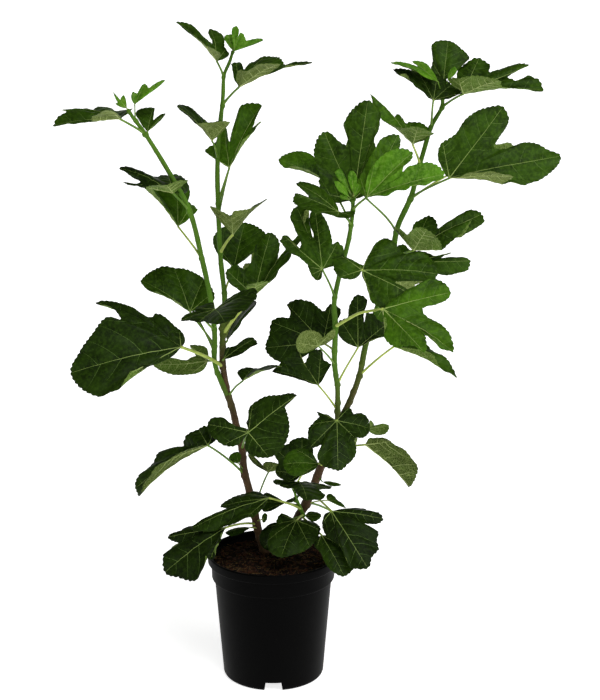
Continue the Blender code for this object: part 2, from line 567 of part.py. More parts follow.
FIT = 0.0005  # the mix's outline is the pot's inside, drawn in by this much
mix = [(0.0, GROUND), (0.060, GROUND), (BAND_RADIUS - WALL - FIT, GROUND - MIX_EDGE_DROP - 0.001),
       (BAND_RADIUS - WALL - FIT, BAND_BOTTOM + 0.0010), (BODY_TOP_RADIUS - WALL - FIT, BAND_BOTTOM - 0.0026),
       (BASE_RADIUS - WALL - FIT, FOOT_CHAMFER + 0.0012), (BASE_RADIUS - WALL - 0.0024 - FIT, FLOOR + 0.0004),
       (0.0, FLOOR + 0.0004)]
solids["potting_mix"] = turned("potting_mix", mix)
# the mix fills the notches' recess only as far as the wall behind them
for k in range(NOTCHES):
    bm = bmesh.new()
    bmesh.ops.create_cube(bm, size=1.0)
    for v in bm.verts:
        v.co = Vector((v.co.x * (NOTCH_BOTTOM + 0.002), v.co.y * 0.012 - BASE_RADIUS, v.co.z * 2 * (NOTCH_HEIGHT + 0.003)))
    bmesh.ops.rotate(bm, verts=bm.verts, matrix=Matrix.Rotation(2.0 * math.pi * k / NOTCHES, 3, "Z"))
    solids["potting_mix"] = combine(solids["potting_mix"], fresh("recess", bm), "DIFFERENCE")
tidy(solids["potting_mix"])

for name, ob in solids.items():
    slot = {"pot": "pot_black", "potting_mix": "potting_mix"}.get(name, "leaf_green" if name.startswith("foliage") else "bark")
    ob.name = ob.data.name = name
    ob.data.materials.clear()
    ob.data.materials.append(MATERIALS[slot])
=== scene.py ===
"""The looks of a young fig tree in a nursery pot.

Each mass of the frame is replaced by leaves that grow from its limb: a petiole, a lobed blade with a scalloped, waved
margin, and a net of veins that a seeded rule branches over the blade. Places are read off the front view as in the
frame: across, down and behind the pot's axis in millimetres.
"""
import math

import bpy
import numpy as np
from mathutils import Matrix, Vector


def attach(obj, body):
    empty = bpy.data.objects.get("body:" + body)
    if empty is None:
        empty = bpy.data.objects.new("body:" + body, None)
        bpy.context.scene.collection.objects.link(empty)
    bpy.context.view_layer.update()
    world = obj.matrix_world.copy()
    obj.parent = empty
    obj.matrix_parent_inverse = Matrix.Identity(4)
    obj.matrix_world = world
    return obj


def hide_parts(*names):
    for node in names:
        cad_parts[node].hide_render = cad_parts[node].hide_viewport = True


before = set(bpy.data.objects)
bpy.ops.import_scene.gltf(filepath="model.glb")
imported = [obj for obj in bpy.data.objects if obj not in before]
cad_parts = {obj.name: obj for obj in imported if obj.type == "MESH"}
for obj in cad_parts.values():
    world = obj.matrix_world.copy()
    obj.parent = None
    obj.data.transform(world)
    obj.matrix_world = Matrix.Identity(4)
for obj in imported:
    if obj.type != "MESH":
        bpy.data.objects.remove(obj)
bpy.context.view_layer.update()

rng = np.random.default_rng(41)

# ---- sizes, as in the frame -------------------------------------------------
POT_HEIGHT = 0.206
RIM_RADIUS = 0.105
LIP_BOTTOM = 0.1915
BAND_RADIUS = 0.0992
BAND_BOTTOM = 0.1655
BODY_TOP_RADIUS = 0.0941
BASE_RADIUS = 0.0812
FOOT_RADIUS = 0.0775
GROUND = 0.1955
NOTCH_TOP, NOTCH_BOTTOM, NOTCH_HEIGHT = 0.025, 0.030, 0.0145
NOTCHES = 3
LEAF_DEPTH = 1.5  # leaves lie this much deeper about their petiole's foot than their readings

LEAF_THICK = 0.00042
MARGIN_STEP = 0.0024  # between points along a blade's margin
RING_STEP = 0.0036  # between rings of points out from the junction

# ---- the front view -----------------------------------------------------------
EYE = np.array((0.0433, -2.70, 1.25))
EYE_DOWN = math.radians(14.7)
EYE_SCALE = 1787.0
AHEAD = np.array((0.0, math.cos(EYE_DOWN), -math.sin(EYE_DOWN)))
ACROSS = np.array((1.0, 0.0, 0.0))
UPWARD = np.array((0.0, math.sin(EYE_DOWN), math.cos(EYE_DOWN)))


def seen(x, y, behind):
    """The point that shows at (x, y) and lies so many millimetres behind the pot's axis."""
    ray = AHEAD + (x - 300.0) / EYE_SCALE * ACROSS - (y - 350.0) / EYE_SCALE * UPWARD
    return EYE + ray * ((behind * 0.001 - EYE[1]) / ray[1])


def shows(p):
    v = np.asarray(p, float) - EYE
    far = v @ AHEAD
    return np.stack((300 + EYE_SCALE * (v @ ACROSS) / far, 350 - EYE_SCALE * (v @ UPWARD) / far), -1)


# ---- stems and boughs: bends as (x, y, behind mm, radius mm) --------------------
STEMS = {
    "left_stem": ((267, 558, 26, 8.2), (259, 533, 26, 6.6), (254.7, 514.7, 23, 6.2), (249, 489.5, 19, 6.2),
                  (244, 470, 15, 6.0), (242, 449, 12, 5.8), (236.5, 426, 9, 5.5), (232, 407, 7, 5.4),
                  (227.5, 394.5, 6, 5.4)),
    "left_bough_outer": ((227.5, 394.5, 6, 5.2), (219.8, 378, 2, 4.2), (214.5, 361, -1, 4.2), (214.6, 334, -5, 4.1),
                         (211, 301, -11, 4.0), (202, 259, -18, 4.0), (190, 212, -27, 3.9), (170, 174, -36, 3.6),
                         (146, 135, -47, 3.2), (134, 119, -52, 2.8), (128, 109.5, -55, 2.2)),
    "left_bough_inner": ((227.5, 394.5, 6, 5.2), (222.8, 364, 8, 4.8), (222.6, 341, 11, 4.8), (223, 318, 14, 4.4),
                         (224.6, 297, 17, 4.0), (220.5, 257, 22, 3.9), (218.2, 205, 29, 3.8), (217.5, 165, 34, 3.8),
                         (220.5, 122, 39, 3.4), (223, 96, 42, 3.0), (224, 76, 44, 2.8), (229.5, 62, 46, 2.4),
                         (233, 51, 48, 2.0)),
    "right_stem": ((283, 558, 26, 8.2), (289, 540, 26, 7.4), (297, 519, 25, 7.0), (306, 503.5, 22, 7.0),
                   (314, 485, 18, 6.8), (322, 464, 14, 6.4), (331, 442, 10, 6.0), (338, 424, 6, 5.8)),
    "right_bough_inner": ((338, 424, 6, 5.4), (337.6, 405, 1, 4.2), (337.5, 388, -3, 4.2), (334.5, 362, -8, 4.2),
                          (335.5, 328, -14, 4.4), (334.2, 303, -18, 4.0), (339.5, 275, -24, 3.8), (348, 243, -32, 3.6),
                          (352.4, 215, -38, 3.2), (352.8, 198, -44, 2.4)),
    "right_bough_outer": ((338, 424, 6, 5.4), (351.4, 397.7, 14, 4.8), (360, 373, 22, 4.6), (366, 344, 31, 4.4),
                          (378, 305, 42, 4.2), (391, 263, 53, 4.2), (395.5, 236, 58, 4.2), (399.5, 222, 60, 4.4),
                          (411, 197, 64, 4.2), (417.5, 173, 69, 3.8), (424, 150, 74, 3.6), (431, 127, 78, 3.4),
                          (441.5, 108, 81, 3.0), (442.5, 96, 82, 2.4)),
    "side_shoot": ((303.5, 516, 15, 2.6), (300.5, 508, 8, 2.4), (297, 500, 0, 2.2), (293.5, 489, -6, 1.8)),
}
FLARE = {"left_stem": 1.8, "right_stem": 1.6}

# ---- leaves -------------------------------------------------------------------
# mass, limb, the petiole's foot on the limb, its junction with the blade, the blade's lobes and bays in turn
# counter-clockwise seen from the upper face: (x, y, behind the junction mm, half width in degrees); a half width of 0
# marks the bottom of a bay or a plain point of the margin
L = {}


def leaf(name, mass, stem, foot, base, knots, mid=None, kind="leaf"):
    L[name] = dict(name=name, mass=mass, stem=stem, foot=foot, base=base, knots=knots, mid=mid, kind=kind)


def back_leaf(name, stem, foot, base, *tips, grown=1.26):
    """A leaf at the back of the crown, its upper face turned away from the front."""
    middle, knots, lobes = (base[0], base[1], 0.0), [], []
    for k, tip in enumerate(reversed(tips)):
        reach = grown if 0 < k < len(tips) - 1 else 0.4 * grown + 0.6
        lobes.append([m + reach * (t - m) for m, t in zip(middle, tip)])

    def add(a, b, share, out, half=0):
        knots.append(tuple(m + out * (p + share * (q - p) - m) for m, p, q in zip(middle, a, b)) + (half,))

    for k, lobe in enumerate(lobes):
        if k:
            add(lobe, lobes[k - 1], 0.5, 0.78)
            add(lobe, lobes[k - 1], 0.25, 1.02)
        add(lobe, lobe, 0.0, 1.0, 15)
        if k + 1 < len(lobes):
            add(lobe, lobes[k + 1], 0.25, 1.02)
    leaf(name, name, stem, foot, base, tuple(knots), kind="back")


# left bough, outer
leaf("A1", "A", "left_bough_outer", (145, 133.5), (120, 119, -60),
     ((131, 107.5, 38, 16), (117, 111, 45, 0), (104, 104, 62, 10), (92, 109.5, 45, 0), (63, 107, 60, 7), (93, 114, 20, 0),
      (67, 110.5, 12, 5), (54, 123.5, 0, 7), (92, 120.8, -14, 0), (110, 109.5, -45, 12), (117, 112, -40, 8)))
leaf("A2", "A", "left_bough_outer", (146, 134.5), (147.5, 132, -50),
     ((165.3, 113.5, 14, 6), (152.4, 119.5, 12, 0), (153.5, 107, 30, 5), (140, 108.5, 26, 7), (136.5, 116, 14, 6)))
leaf("A3", "A", "left_bough_outer", (135.7, 121), (134.7, 104.5, -50),
     ((164.8, 80, 10, 3), (148, 88, 8, 0), (144.5, 83.5, 16, 4), (137, 94, 6, 0), (133.6, 92, 6, 6), (131.5, 99, 2, 9)),
     kind="young")
leaf("A4", "A", "left_bough_outer", (129, 111), (126.8, 108.3, -55),
     ((125.5, 100, 2, 5), (123.2, 95.3, 4, 5), (121, 103, 2, 0), (113.7, 91.5, 6, 5), (118, 103, 0, 0), (115.6, 103.3, 0, 6), (119, 106.5, 0, 6)), kind="young")
leaf("B1", "B1", "left_bough_outer", (201, 259), (178, 226.5, 0),
     ((196.5, 209, 8, 14), (188.5, 203, 14, 0), (189, 189, 25, 8), (176, 174, 40, 14), (158, 178, 28, 0), (146, 187.5, 12, 7),
      (155, 190, -14, 5), (165, 205, -16, 5)))
leaf("B2", "B2", "left_bough_outer", (190, 211), (173, 193, -42),
     ((188, 190, 26, 10), (186, 180, 34, 10), (168, 174, 50, 10), (158, 176, 45, 0), (120, 165, 42, 6), (141, 182.3, 18, 0),
      (124.5, 181.5, 16, 5), (146, 187, -6, 0), (166, 183, -28, 10), (178, 181.5, -26, 0), (187.5, 179.3, -30, 4)))
# left bough, inner
leaf("C1", "C", "left_bough_inner", (223.5, 76.5), (216.8, 61.2, 34),
     ((229.4, 53.5, 18, 12), (224.5, 47.5, 20, 0), (220.5, 32, 46, 6), (211, 28.3, 48, 5), (212.5, 44.5, 16, 0),
      (205, 37, 18, 0), (193, 25, 18, 5), (177.5, 20.8, 8, 3), (190, 32.5, -8, 3), (208, 45, -20, 6), (220, 53, -22, 10)))
leaf("C2", "C", "left_bough_inner", (233, 52), (233.6, 51.5, 46),
     ((263.3, 40, 4, 3), (246, 40.5, 4, 0), (241.3, 32.5, 8, 6), (237.5, 39, 4, 0), (228, 34.5, 8, 6), (224.5, 39, 2, 8)),
     kind="young")
leaf("C4", "C", "left_bough_inner", (233, 52), (234, 49, 42),
     ((239, 31, 2, 5), (235.5, 26.3, 4, 6), (232, 31, 2, 5)), kind="young")
leaf("C3", "C", "left_bough_inner", (224, 106), (239, 87.2, 40),
     ((238, 71.5, -20, 9), (246, 71, -28, 0), (262, 62, -42, 10), (278.5, 62.5, -40, 5), (268, 72.5, -14, 0), (310, 59.3, 0, 3),
      (284, 64, 14, 0), (277, 57, 36, 6), (264, 55, 48, 10), (253, 61, 40, 0), (244, 70, 20, 0), (236, 60.3, 40, 8),
      (232, 67, 24, 8)))
leaf("D1", "D1", "left_bough_inner", (216.8, 159.4), (212, 141, 8),
     ((222, 121, 22, 10), (210.3, 124.5, 14, 0), (183, 103.8, 12, 3), (178.5, 105.2, 0, 3), (196, 123, -10, 0),
      (212, 122, -24, 10), (229.5, 121.2, -22, 6)))
leaf("D2", "D2", "left_bough_inner", (219.5, 204), (229.4, 167.6, 24),
     ((237, 150, -12, 5), (259.6, 121.3, 6, 3), (246, 134.5, 8, 0), (260, 104.3, 22, 4), (240, 107, 20, 6), (234, 125, 14, 0),
      (229, 143, 8, 0), (224, 128, 24, 8), (214, 145, 18, 0), (204.4, 151.5, 16, 6), (217, 161, 8, 6)))
leaf("E1", "E1", "left_bough_inner", (222.5, 253.5), (232.6, 235, 0),
     ((210.3, 207, -4, 5), (222, 211, -8, 0), (231.5, 216.5, -12, 0), (234, 211, -18, 6), (249, 209, -12, 6), (265.3, 198.3, 4, 3),
      (254, 205, 22, 8), (243, 214, 36, 12), (226, 217, 30, 10)))
leaf("E2", "E2", "left_bough_inner", (226, 293), (234, 267.8, 42),
     ((266.3, 239.2, 4, 4), (260.8, 229.5, 14, 5), (244.5, 222.5, 24, 10), (222, 228.5, 18, 12), (214, 238, 8, 10), (218, 253, 0, 0),
      (227, 262, -4, 10)))
leaf("E3", "E3", "left_bough_inner", (227.4, 335), (254.5, 296, -6),
     ((247, 286, -26, 10), (256, 281, -30, 10), (270, 280.5, -22, 8), (300, 238, 12, 2), (312, 219, 26, 3), (276, 264.5, 12, 0),
      (279, 243, 22, 5), (270, 233, 28, 7), (258, 242, 26, 0), (252, 262, 14, 0), (245, 270.3, 12, 0), (236, 264.5, 14, 8), (227.3, 271, 14, 8),
      (229, 281, 6, 8), (240, 289, 0, 8)))
leaf("E5", "E3", "left_bough_inner", (224.6, 347), (227.5, 340.5, 16),
     ((254.5, 304, -8, 4), (243, 306, 34, 8), (231, 315, 44, 10), (226, 325, 34, 10)))
leaf("E4", "E4", "left_bough_outer", (213.6, 329.5), (215, 309.5, -62),
     ((214, 302.5, 22, 10), (196, 310, 0, 0), (181.5, 318.3, -14, 8), (204, 320.3, -32, 0), (224, 320, -62, 16), (240, 311, -44, 0),
      (253.3, 299, -26, 10), (244, 289.5, 22, 7), (234, 295, 26, 6)), mid=(204, 320, -32))
leaf("F1", "F1", "left_bough_outer", (211.5, 346), (190, 312, 6),
     ((211, 303, -4, 8), (210, 286, 10, 0), (203, 278.6, 20, 12), (178, 268, 30, 14), (160, 266.8, 26, 14), (142.6, 279, 8, 8),
      (150, 290, -4, 0), (162, 293, -12, 6), (178, 302, -12, 6)))
leaf("F2", "F2", "left_bough_inner", (220.5, 367), (181, 347, -40),
     ((184.7, 340, 6, 12), (176, 327, 18, 10), (156, 315, 28, 8), (152, 318, 26, 0), (132, 307, 34, 0), (97.8, 299.9, 44, 3),
      (117, 309.5, 22, 0), (122, 319.5, 10, 0), (109, 317, 8, 6), (93, 334, 0, 8), (78, 355, -10, 8), (71.2, 371.5, -18, 6),
      (83, 387.5, -32, 6), (105, 393.2, -40, 7), (120, 386, -38, 6), (132, 372.5, -28, 0), (155, 364.3, -16, 6), (171, 357, -8, 8)))
leaf("F3", "F3", "left_bough_inner", (221.5, 364), (208, 361, 34),
     ((204, 369, -6, 10), (180, 375, -14, 14), (162, 371.5, -8, 8), (154, 365.3, -2, 7), (172, 358.5, 6, 10), (184, 361.3, 6, 0),
      (197, 356, 14, 6), (190, 346, 20, 5), (200, 346.5, 22, 8), (207, 349, 16, 8)))
leaf("F4", "F4", "left_bough_inner", (221, 361), (223.5, 359.3, -8),
     ((238, 355.5, -2, 6), (249, 347.8, 4, 5), (256.8, 343, 8, 5), (254, 338, 14, 5), (243, 339.5, 14, 4), (235, 346, 10, 0), (226, 348.5, 8, 10)))
leaf("F5", "F5", "left_stem", (232, 394.8), (242.7, 381, -16),
     ((252, 373, -20, 8), (266, 368.5, -20, 8), (281, 364.6, 2, 3), (260, 367, 20, 8), (243, 368.5, 24, 8), (237.5, 372.5, 14, 8)),
     mid=(235.5, 386.5, -4))
# left stem
leaf("G1", "G1", "left_stem", (244, 449), (248.4, 432.6, -34),
     ((245, 447.5, -6, 16), (264, 457, -18, 10), (277, 453, -18, 6), (285, 441, -16, 6), (288.6, 427, -10, 8), (283.5, 407, 2, 4), (295.6, 395.3, 4, 3),
      (278, 395, 12, 5), (260, 399, 16, 8), (249, 409, 16, 8), (247.3, 421, 10, 12), (248.2, 430, 0, 0),
      (233, 425, 6, 4), (221, 418.6, 12, 5), (208, 424, 10, 5), (216, 439, -2, 4), (234, 446, -8, 16)))
leaf("G2", "G2", "left_stem", (241, 476.5), (208, 445.5, -30),
     ((215.5, 440, 12, 10), (207, 427, 26, 6), (184, 440.5, 24, 4), (180, 449, 18, 0), (163, 449, 26, 5), (153, 462, 16, 0),
      (139, 473.5, 10, 5), (134.3, 486, 2, 4), (138, 494, -8, 3), (160, 463, -28, 5), (180, 452, -22, 5), (197, 446, -14, 8)))
leaf("G3", "G2", "left_stem", (241, 472), (238.6, 463.5, 2),
     ((241, 456, 4, 16), (236, 451.8, 8, 16), (229.3, 457, 4, 16), (232.5, 462, 0, 12)), kind="young")
leaf("G4", "G4", "left_stem", (255, 512), (268.3, 472.4, 30),
     ((254, 464, -4, 3), (247.8, 454.3, 0, 6), (257, 459, 2, 0), (263, 466.5, -2, 0), (266, 461.8, -6, 8), (276, 463, -4, 4), (283, 467.2, 0, 6)))
leaf("H1", "H1", "side_shoot", (301, 509), (269, 498, -26),
     ((262.5, 493.3, 16, 6), (254, 491, 24, 8), (240, 494.5, 20, 0), (220.6, 505.3, 10, 4), (238.7, 507.2, 0, 0), (223, 509.5, 2, 2),
      (206, 516, 0, 4), (191.6, 526.5, -6, 4), (222, 527, -16, 0), (240, 519.5, -20, 0), (248, 515.5, -20, 3), (253, 516.5, -22, 4), (261, 509, -16, 8)))
leaf("H4", "H4", "side_shoot", (299.5, 506), (285, 503, 4),
     ((276, 496.5, 10, 6), (266, 492.5, 14, 8), (261, 502, 4, 8), (264, 511, -8, 8), (276, 508.3, -8, 5)))
leaf("H7", "H4", "side_shoot", (298, 502), (294, 501.5, 2),
     ((301, 494.5, 10, 6), (291, 498, 8, 8), (286, 503, 0, 8)))
leaf("H2", "H2", "left_stem", (255.5, 524.5), (225.2, 527.8, -30),
     ((206, 524, 14, 0), (188, 526.5, 18, 6), (177, 530.5, 14, 5), (168, 536.5, 14, 2), (180.5, 543, 4, 0), (178, 545.5, 2, 0), (167, 549.5, 2, 5),
      (163.3, 560.5, -4, 5), (164.5, 571, -10, 5), (178, 576.3, -18, 5), (196, 578.3, -26, 7), (203, 567, -26, 3),
      (205.7, 554, -22, 0), (210, 558.5, -26, 4), (217, 543, -36, 7)))
leaf("H3", "H2", "left_stem", (257, 529), (250.5, 527.5, 6),
     ((240, 527.3, 6, 10), (225.5, 532, -2, 7), (232, 535.3, -8, 6), (243, 532.5, -6, 6)))
leaf("H5", "H5", "left_stem", (258, 521), (262, 519.5, 12),
     ((263, 522.5, 0, 10), (267, 519, 2, 10), (265.8, 513.3, 4, 8), (262, 516, 2, 8)), kind="small")
# right stem
leaf("I1", "I1", "side_shoot", (303, 515), (296.3, 520.3, -22),
     ((291, 517.5, 4, 8), (284, 513.3, 8, 12), (277.5, 519, 4, 8), (276.3, 524, 0, 0), (269.5, 533, -10, 6), (267.5, 545, -22, 8), (273, 553, -30, 8),
      (281, 556, -34, 6), (295, 553, -32, 6), (311, 545, -26, 6), (318.5, 534, -12, 6), (320, 527, -6, 5), (313, 521.5, 4, 5), (303, 520, 6, 10)))
# painted shade: a small leaf in the dark tone, set over the left stem's base beneath I1 where shade falls
leaf("I6", "I1", "side_shoot", (303, 515.5), (282, 524, 6),
     ((273, 522.5, 6, 10), (264.5, 528, 2, 8), (259.5, 537, -4, 8), (264, 548, -8, 10), (280, 548, -8, 12)), kind="small")
leaf("I2", "I2", "side_shoot", (303.3, 514), (305, 516, 12),
     ((311.5, 521, -6, 8), (321, 515.3, 0, 5), (308, 512.3, 6, 8)), kind="small")
leaf("I3", "I3", "side_shoot", (293.6, 489), (299, 482, -42),
     ((289, 480.8, 8, 4), (274, 479.3, 4, 6), (277.5, 484.5, -8, 4), (293, 487.5, -26, 0), (307, 497.6, -62, 9), (323.5, 493.5, -42, 5),
      (314, 489.3, -30, 0), (329.7, 487.3, -16, 4), (314, 482.3, 10, 6)))
leaf("I4", "I4", "right_stem", (321, 466), (318.5, 464, -46),
     ((311, 452, 10, 8), (297, 448.5, 12, 12), (286, 455, 6, 8), (284, 463, -4, 8), (289, 473.5, -16, 10), (304, 474, -18, 8), (315, 468.5, -12, 8)))
leaf("I5", "I5", "side_shoot", (294, 490), (302, 474, -22),
     ((313, 452, 14, 8), (302, 437.2, 26, 8), (291, 441, 22, 4), (289, 444, 18, 0), (276, 449, 12, 6), (274, 453, 10, 5), (279, 463, 4, 0),
      (276, 471, 0, 5), (284, 479.8, -6, 8), (296, 480, -8, 8)))
leaf("J1", "J1", "right_stem", (337, 426), (336.8, 420.6, -30),
     ((325, 413.5, 10, 3), (317.5, 410.5, 14, 4), (320, 417.5, 8, 0), (311, 424, 0, 6), (308.6, 438, -10, 4), (310.3, 447, -16, 3), (323, 443.5, -12, 0),
      (317.5, 456, -28, 4), (326, 466, -36, 5), (338, 469, -40, 7), (348, 463, -34, 6), (356.3, 447.5, -20, 5), (353.3, 440, -14, 0), (356.5, 436, -10, 0),
      (363, 437, -4, 3), (370, 427.5, 6, 6), (361, 413, 14, 4), (353, 414, 10, 0), (349, 407.5, 16, 4), (343, 413, 8, 4)))
leaf("J2", "J2", "right_stem", (331.5, 441), (367, 428.5, 14),
     ((370, 420.3, 4, 6), (374, 425.5, 4, 0), (381, 424, 4, 5), (388.6, 426.2, 4, 2), (385, 433.8, -6, 6), (371, 433, -4, 8)),
     kind="small")
leaf("J3", "J3", "right_stem", (328, 450), (365.3, 444.7, -8),
     ((369, 438.7, 10, 8), (379, 438, 18, 6), (396, 446, 20, 5), (411, 459, 12, 5), (416.6, 470.5, 2, 4), (410, 485, -8, 2),
      (398, 465, 26, 6), (383, 452, 28, 8)))
leaf("J4", "J4", "right_stem", (317.5, 476), (322.3, 481.7, 6),
     ((331, 485.7, -4, 5), (341, 484.3, 0, 4), (331, 481.3, 4, 5)), kind="small")
leaf("K1", "K1", "right_stem", (313, 497), (331.3, 511, -34),
     ((327, 513, 2, 8), (323, 519, -2, 8), (324.5, 532, -8, 4), (333, 540.5, -18, 3), (341.3, 546, -28, 2), (336.2, 534.5, -12, 0), (344, 545, -20, 0),
      (346, 560, -42, 3), (353.5, 566, -46, 3), (367, 566.6, -48, 4), (371.5, 555, -40, 3), (378, 548.5, -32, 4), (375.8, 539.5, -26, 0),
      (377.5, 530, -18, 3), (363, 523.7, -10, 0), (382.6, 518, 2, 4), (377, 512, 8, 4), (362, 507.7, 16, 6), (345, 509, 12, 5)))
leaf("K2", "K2", "right_stem", (299.5, 514.5), (321.5, 535, -32),
     ((315, 540.5, -2, 8), (321, 553, -18, 4), (331, 569.5, -34, 4), (344, 574.6, -40, 6), (353.3, 567, -32, 5), (344, 548, -14, 8), (332, 537, -4, 8)),
     mid=(308, 522, 4))
leaf("K3", "K3", "right_stem", (306.5, 504.5), (327.5, 500.3, 6),
     ((334, 503.5, -2, 4), (345.3, 508.7, -6, 4), (337, 499.5, 4, 5), (329.6, 494, 8, 9), (326.3, 497, 4, 8)), kind="small")
# right bough, inner
leaf("M1", "M1", "right_bough_inner", (352.8, 203), (353.6, 199.5, -30),
     ((368, 193, -2, 8), (384, 172, 4, 8), (380, 158, 8, 0), (375.2, 147.5, 12, 0), (374.5, 135, 16, 0), (379.7, 118, 22, 3), (367.7, 101, 26, 4), (350, 113, 24, 3),
      (346.3, 125, 20, 2), (348.5, 147.5, 12, 0), (340, 143, 14, 3), (324, 132.4, 22, 5), (314.5, 150, 18, 5), (319.5, 170, 8, 0), (321, 187, 2, 5),
      (334, 200, -4, 6), (347, 202, -4, 8)))
leaf("M2", "M2", "right_bough_inner", (350, 226), (327, 181, 8),
     ((314, 157, 22, 5), (304, 151.3, 26, 6), (284, 154.5, 18, 4), (279.3, 159.5, 12, 5), (285, 166.8, 6, 4), (300, 165, -8, 6), (320, 176.5, -6, 6)))
leaf("M3", "M3", "right_bough_inner", (350.5, 225), (339, 212.3, -72),
     ((334, 199.5, 14, 8), (321, 188.5, 22, 4), (303, 180, 22, 4), (297.7, 182, 18, 3), (310, 197, 4, 0), (304, 194.5, 4, 0), (296, 193, 4, 4), (293.8, 201, -4, 4),
      (300, 206, -12, 3), (322, 212, -20, 4), (340, 217.3, -26, 8), (352, 212, -6, 5)))
leaf("M4", "M4", "right_bough_inner", (353.5, 210), (367, 197, -62),
     ((378, 195.5, -8, 5), (402, 189.5, -12, 2), (414, 184.5, -4, 0), (424, 183, -2, 3), (443.6, 172.5, 6, 5), (428, 163, 8, 4), (416, 166, 6, 0), (402.5, 172.8, 2, 0),
      (402, 169, 2, 0), (411.5, 152.5, 12, 3), (403, 149, 12, 4), (391, 151, 12, 5), (374, 165, 8, 6), (366, 186, 2, 8)))
leaf("M5", "M5", "right_bough_outer", (394.5, 232), (366.6, 198.5, -10),
     ((384, 178, 2, 8), (397.8, 135.2, 22, 4), (384, 138, 20, 5), (376, 148, 14, 5), (364, 170, 8, 8), (358, 190, 2, 8)))
leaf("M6", "M", "right_bough_inner", (352.6, 199), (350, 193, -54),
     ((345, 177, 6, 6), (340, 168.5, 10, 8), (335, 172, 8, 8)), kind="young")
leaf("M7", "M", "right_bough_inner", (352.6, 199), (353.5, 194, -56),
     ((357, 178, 4, 7), (351.5, 170.8, 6, 8), (348, 177, 4, 7)), kind="young")
leaf("M8", "M", "right_bough_inner", (352.6, 199), (349, 197, -60),
     ((345, 187, 4, 8), (335.3, 181, 4, 8), (338, 190, 0, 8)), kind="young")
leaf("M9", "M", "right_bough_inner", (352.6, 199), (354.5, 196.5, -58),
     ((360, 190, 2, 10), (359.5, 184, 6, 10), (355, 185, 4, 10)), kind="young")
leaf("M10", "M", "right_bough_inner", (352.6, 199), (348.5, 199.5, -62),
     ((344, 191.5, 6, 10), (341, 194, 4, 10), (342, 199, -2, 8)), kind="young")
leaf("N1", "N1", "right_bough_inner", (333.6, 298), (322.3, 269.5, -52),
     ((331, 266.5, 0, 5), (340.5, 261, 4, 5), (344, 252, 8, 5), (338, 242.7, 10, 6), (332.8, 245.6, 6, 0), (330.5, 234, 10, 4), (324, 218, 16, 4), (315, 208, 20, 4), (311, 222, 14, 3),
      (314.5, 236, 8, 0), (311, 240, 6, 0), (303.5, 226, 12, 0), (307, 207, 20, 3), (297, 207, 20, 3), (291.5, 218, 14, 4), (301, 240, 6, 0), (301, 249, 4, 0), (291, 240, 4, 3), (284, 236.3, 6, 3), (280.8, 241, 4, 4), (290, 251, 0, 3),
      (309, 264, -2, 0), (311.5, 274, -6, 6), (318, 279.3, -10, 8), (321, 276, -8, 6)))
leaf("N2", "N2", "right_bough_inner", (334.8, 352), (323, 343, 20),
     ((338.5, 318, 0, 6), (337, 307, 10, 5), (331, 304.7, 12, 6), (323.5, 312, 10, 0), (309, 301.5, 20, 6), (296, 300.3, 22, 5), (287.3, 304, 20, 5), (291, 312, 16, 0), (289.5, 318, 12, 0),
      (284, 317, 12, 3), (272, 322, 10, 6), (270, 334, 4, 4), (266, 347.5, -2, 5), (280, 361, -8, 5), (300, 358, -8, 6)))
leaf("N5", "N5", "right_bough_inner", (334.8, 411), (318.3, 385.3, -6),
     ((326, 374, -2, 4), (330.6, 365.5, 2, 6), (323, 360.3, 6, 0), (321, 350, 10, 5), (312, 351, 10, 5), (307, 360, 8, 3), (304.7, 365, 6, 0), (298, 352, 10, 6), (282, 361, 6, 5), (280, 365.5, 0, 0),
      (273.5, 369.5, -4, 2), (300, 379.5, -10, 4)))
leaf("N3", "N3", "right_bough_inner", (333, 365), (318.5, 346, -52),
     ((313, 350.5, -4, 8), (301, 353, -6, 8), (296.2, 343, -4, 8), (301, 333.5, 2, 8), (314, 331.3, 6, 8), (320, 334, 6, 6), (323, 338, 4, 0), (334, 329.5, 10, 6), (333.5, 338, 8, 6), (326, 344, 2, 8)))
leaf("N4", "N4", "right_bough_inner", (339, 385), (358, 347.5, 2),
     ((370, 340.5, 2, 3), (384, 336, 6, 4), (389, 322, 14, 5), (374, 315, 16, 5), (367, 313, 14, 0), (365, 324.5, 8, 0), (363.5, 314, 12, 0), (366, 302, 18, 3), (357.5, 295, 22, 5), (350, 305, 18, 3), (347.6, 318.5, 10, 0),
      (341, 320.5, 8, 4), (338.7, 334, 2, 5), (346, 342.5, 0, 5)))
leaf("O1", "O1", "right_bough_outer", (391, 263), (362, 270.2, -34),
     ((363, 277, -4, 8), (370, 289, -10, 3), (368.7, 297, -14, 5), (378, 306, -22, 5), (402, 309, -32, 6), (417, 297, -28, 6), (404, 286, -18, 0), (392, 280.5, -10, 0), (404, 280.7, -10, 0), (424, 280.5, -14, 3), (436.5, 272, -8, 5), (431, 259, 2, 5),
      (415, 251, 10, 5), (404, 254, 12, 0), (394, 243, 18, 3), (385, 238, 22, 6), (370, 251, 14, 4), (363.5, 265, 4, 4),
      (349, 259, 10, 5), (338, 252, 14, 5), (334, 266, 6, 7), (343, 277.5, -4, 6), (357, 277, -4, 6)))
leaf("O3", "O3", "right_bough_inner", (338.5, 326), (383, 309, -88),
     ((374, 312.5, 6, 6), (380, 320.5, 0, 6), (388, 321, -6, 0), (383.5, 334, -12, 5), (393.5, 345.6, -20, 5), (413, 344.5, -28, 3), (423.5, 350.5, -34, 3), (425, 337, -24, 3), (423.5, 331, -20, 0), (436, 340, -24, 0),
      (453, 350.3, -28, 3), (451, 337, -18, 4), (442, 325, -10, 4), (427, 317, -6, 0), (421.5, 310.5, -2, 0), (425, 306, 0, 0), (442, 302, 2, 4), (449.8, 292, 6, 5), (442, 282, 10, 5), (428, 279.3, 12, 5), (412, 287, 10, 5), (392, 300, 6, 8)),
     mid=(359, 312.5, -56))
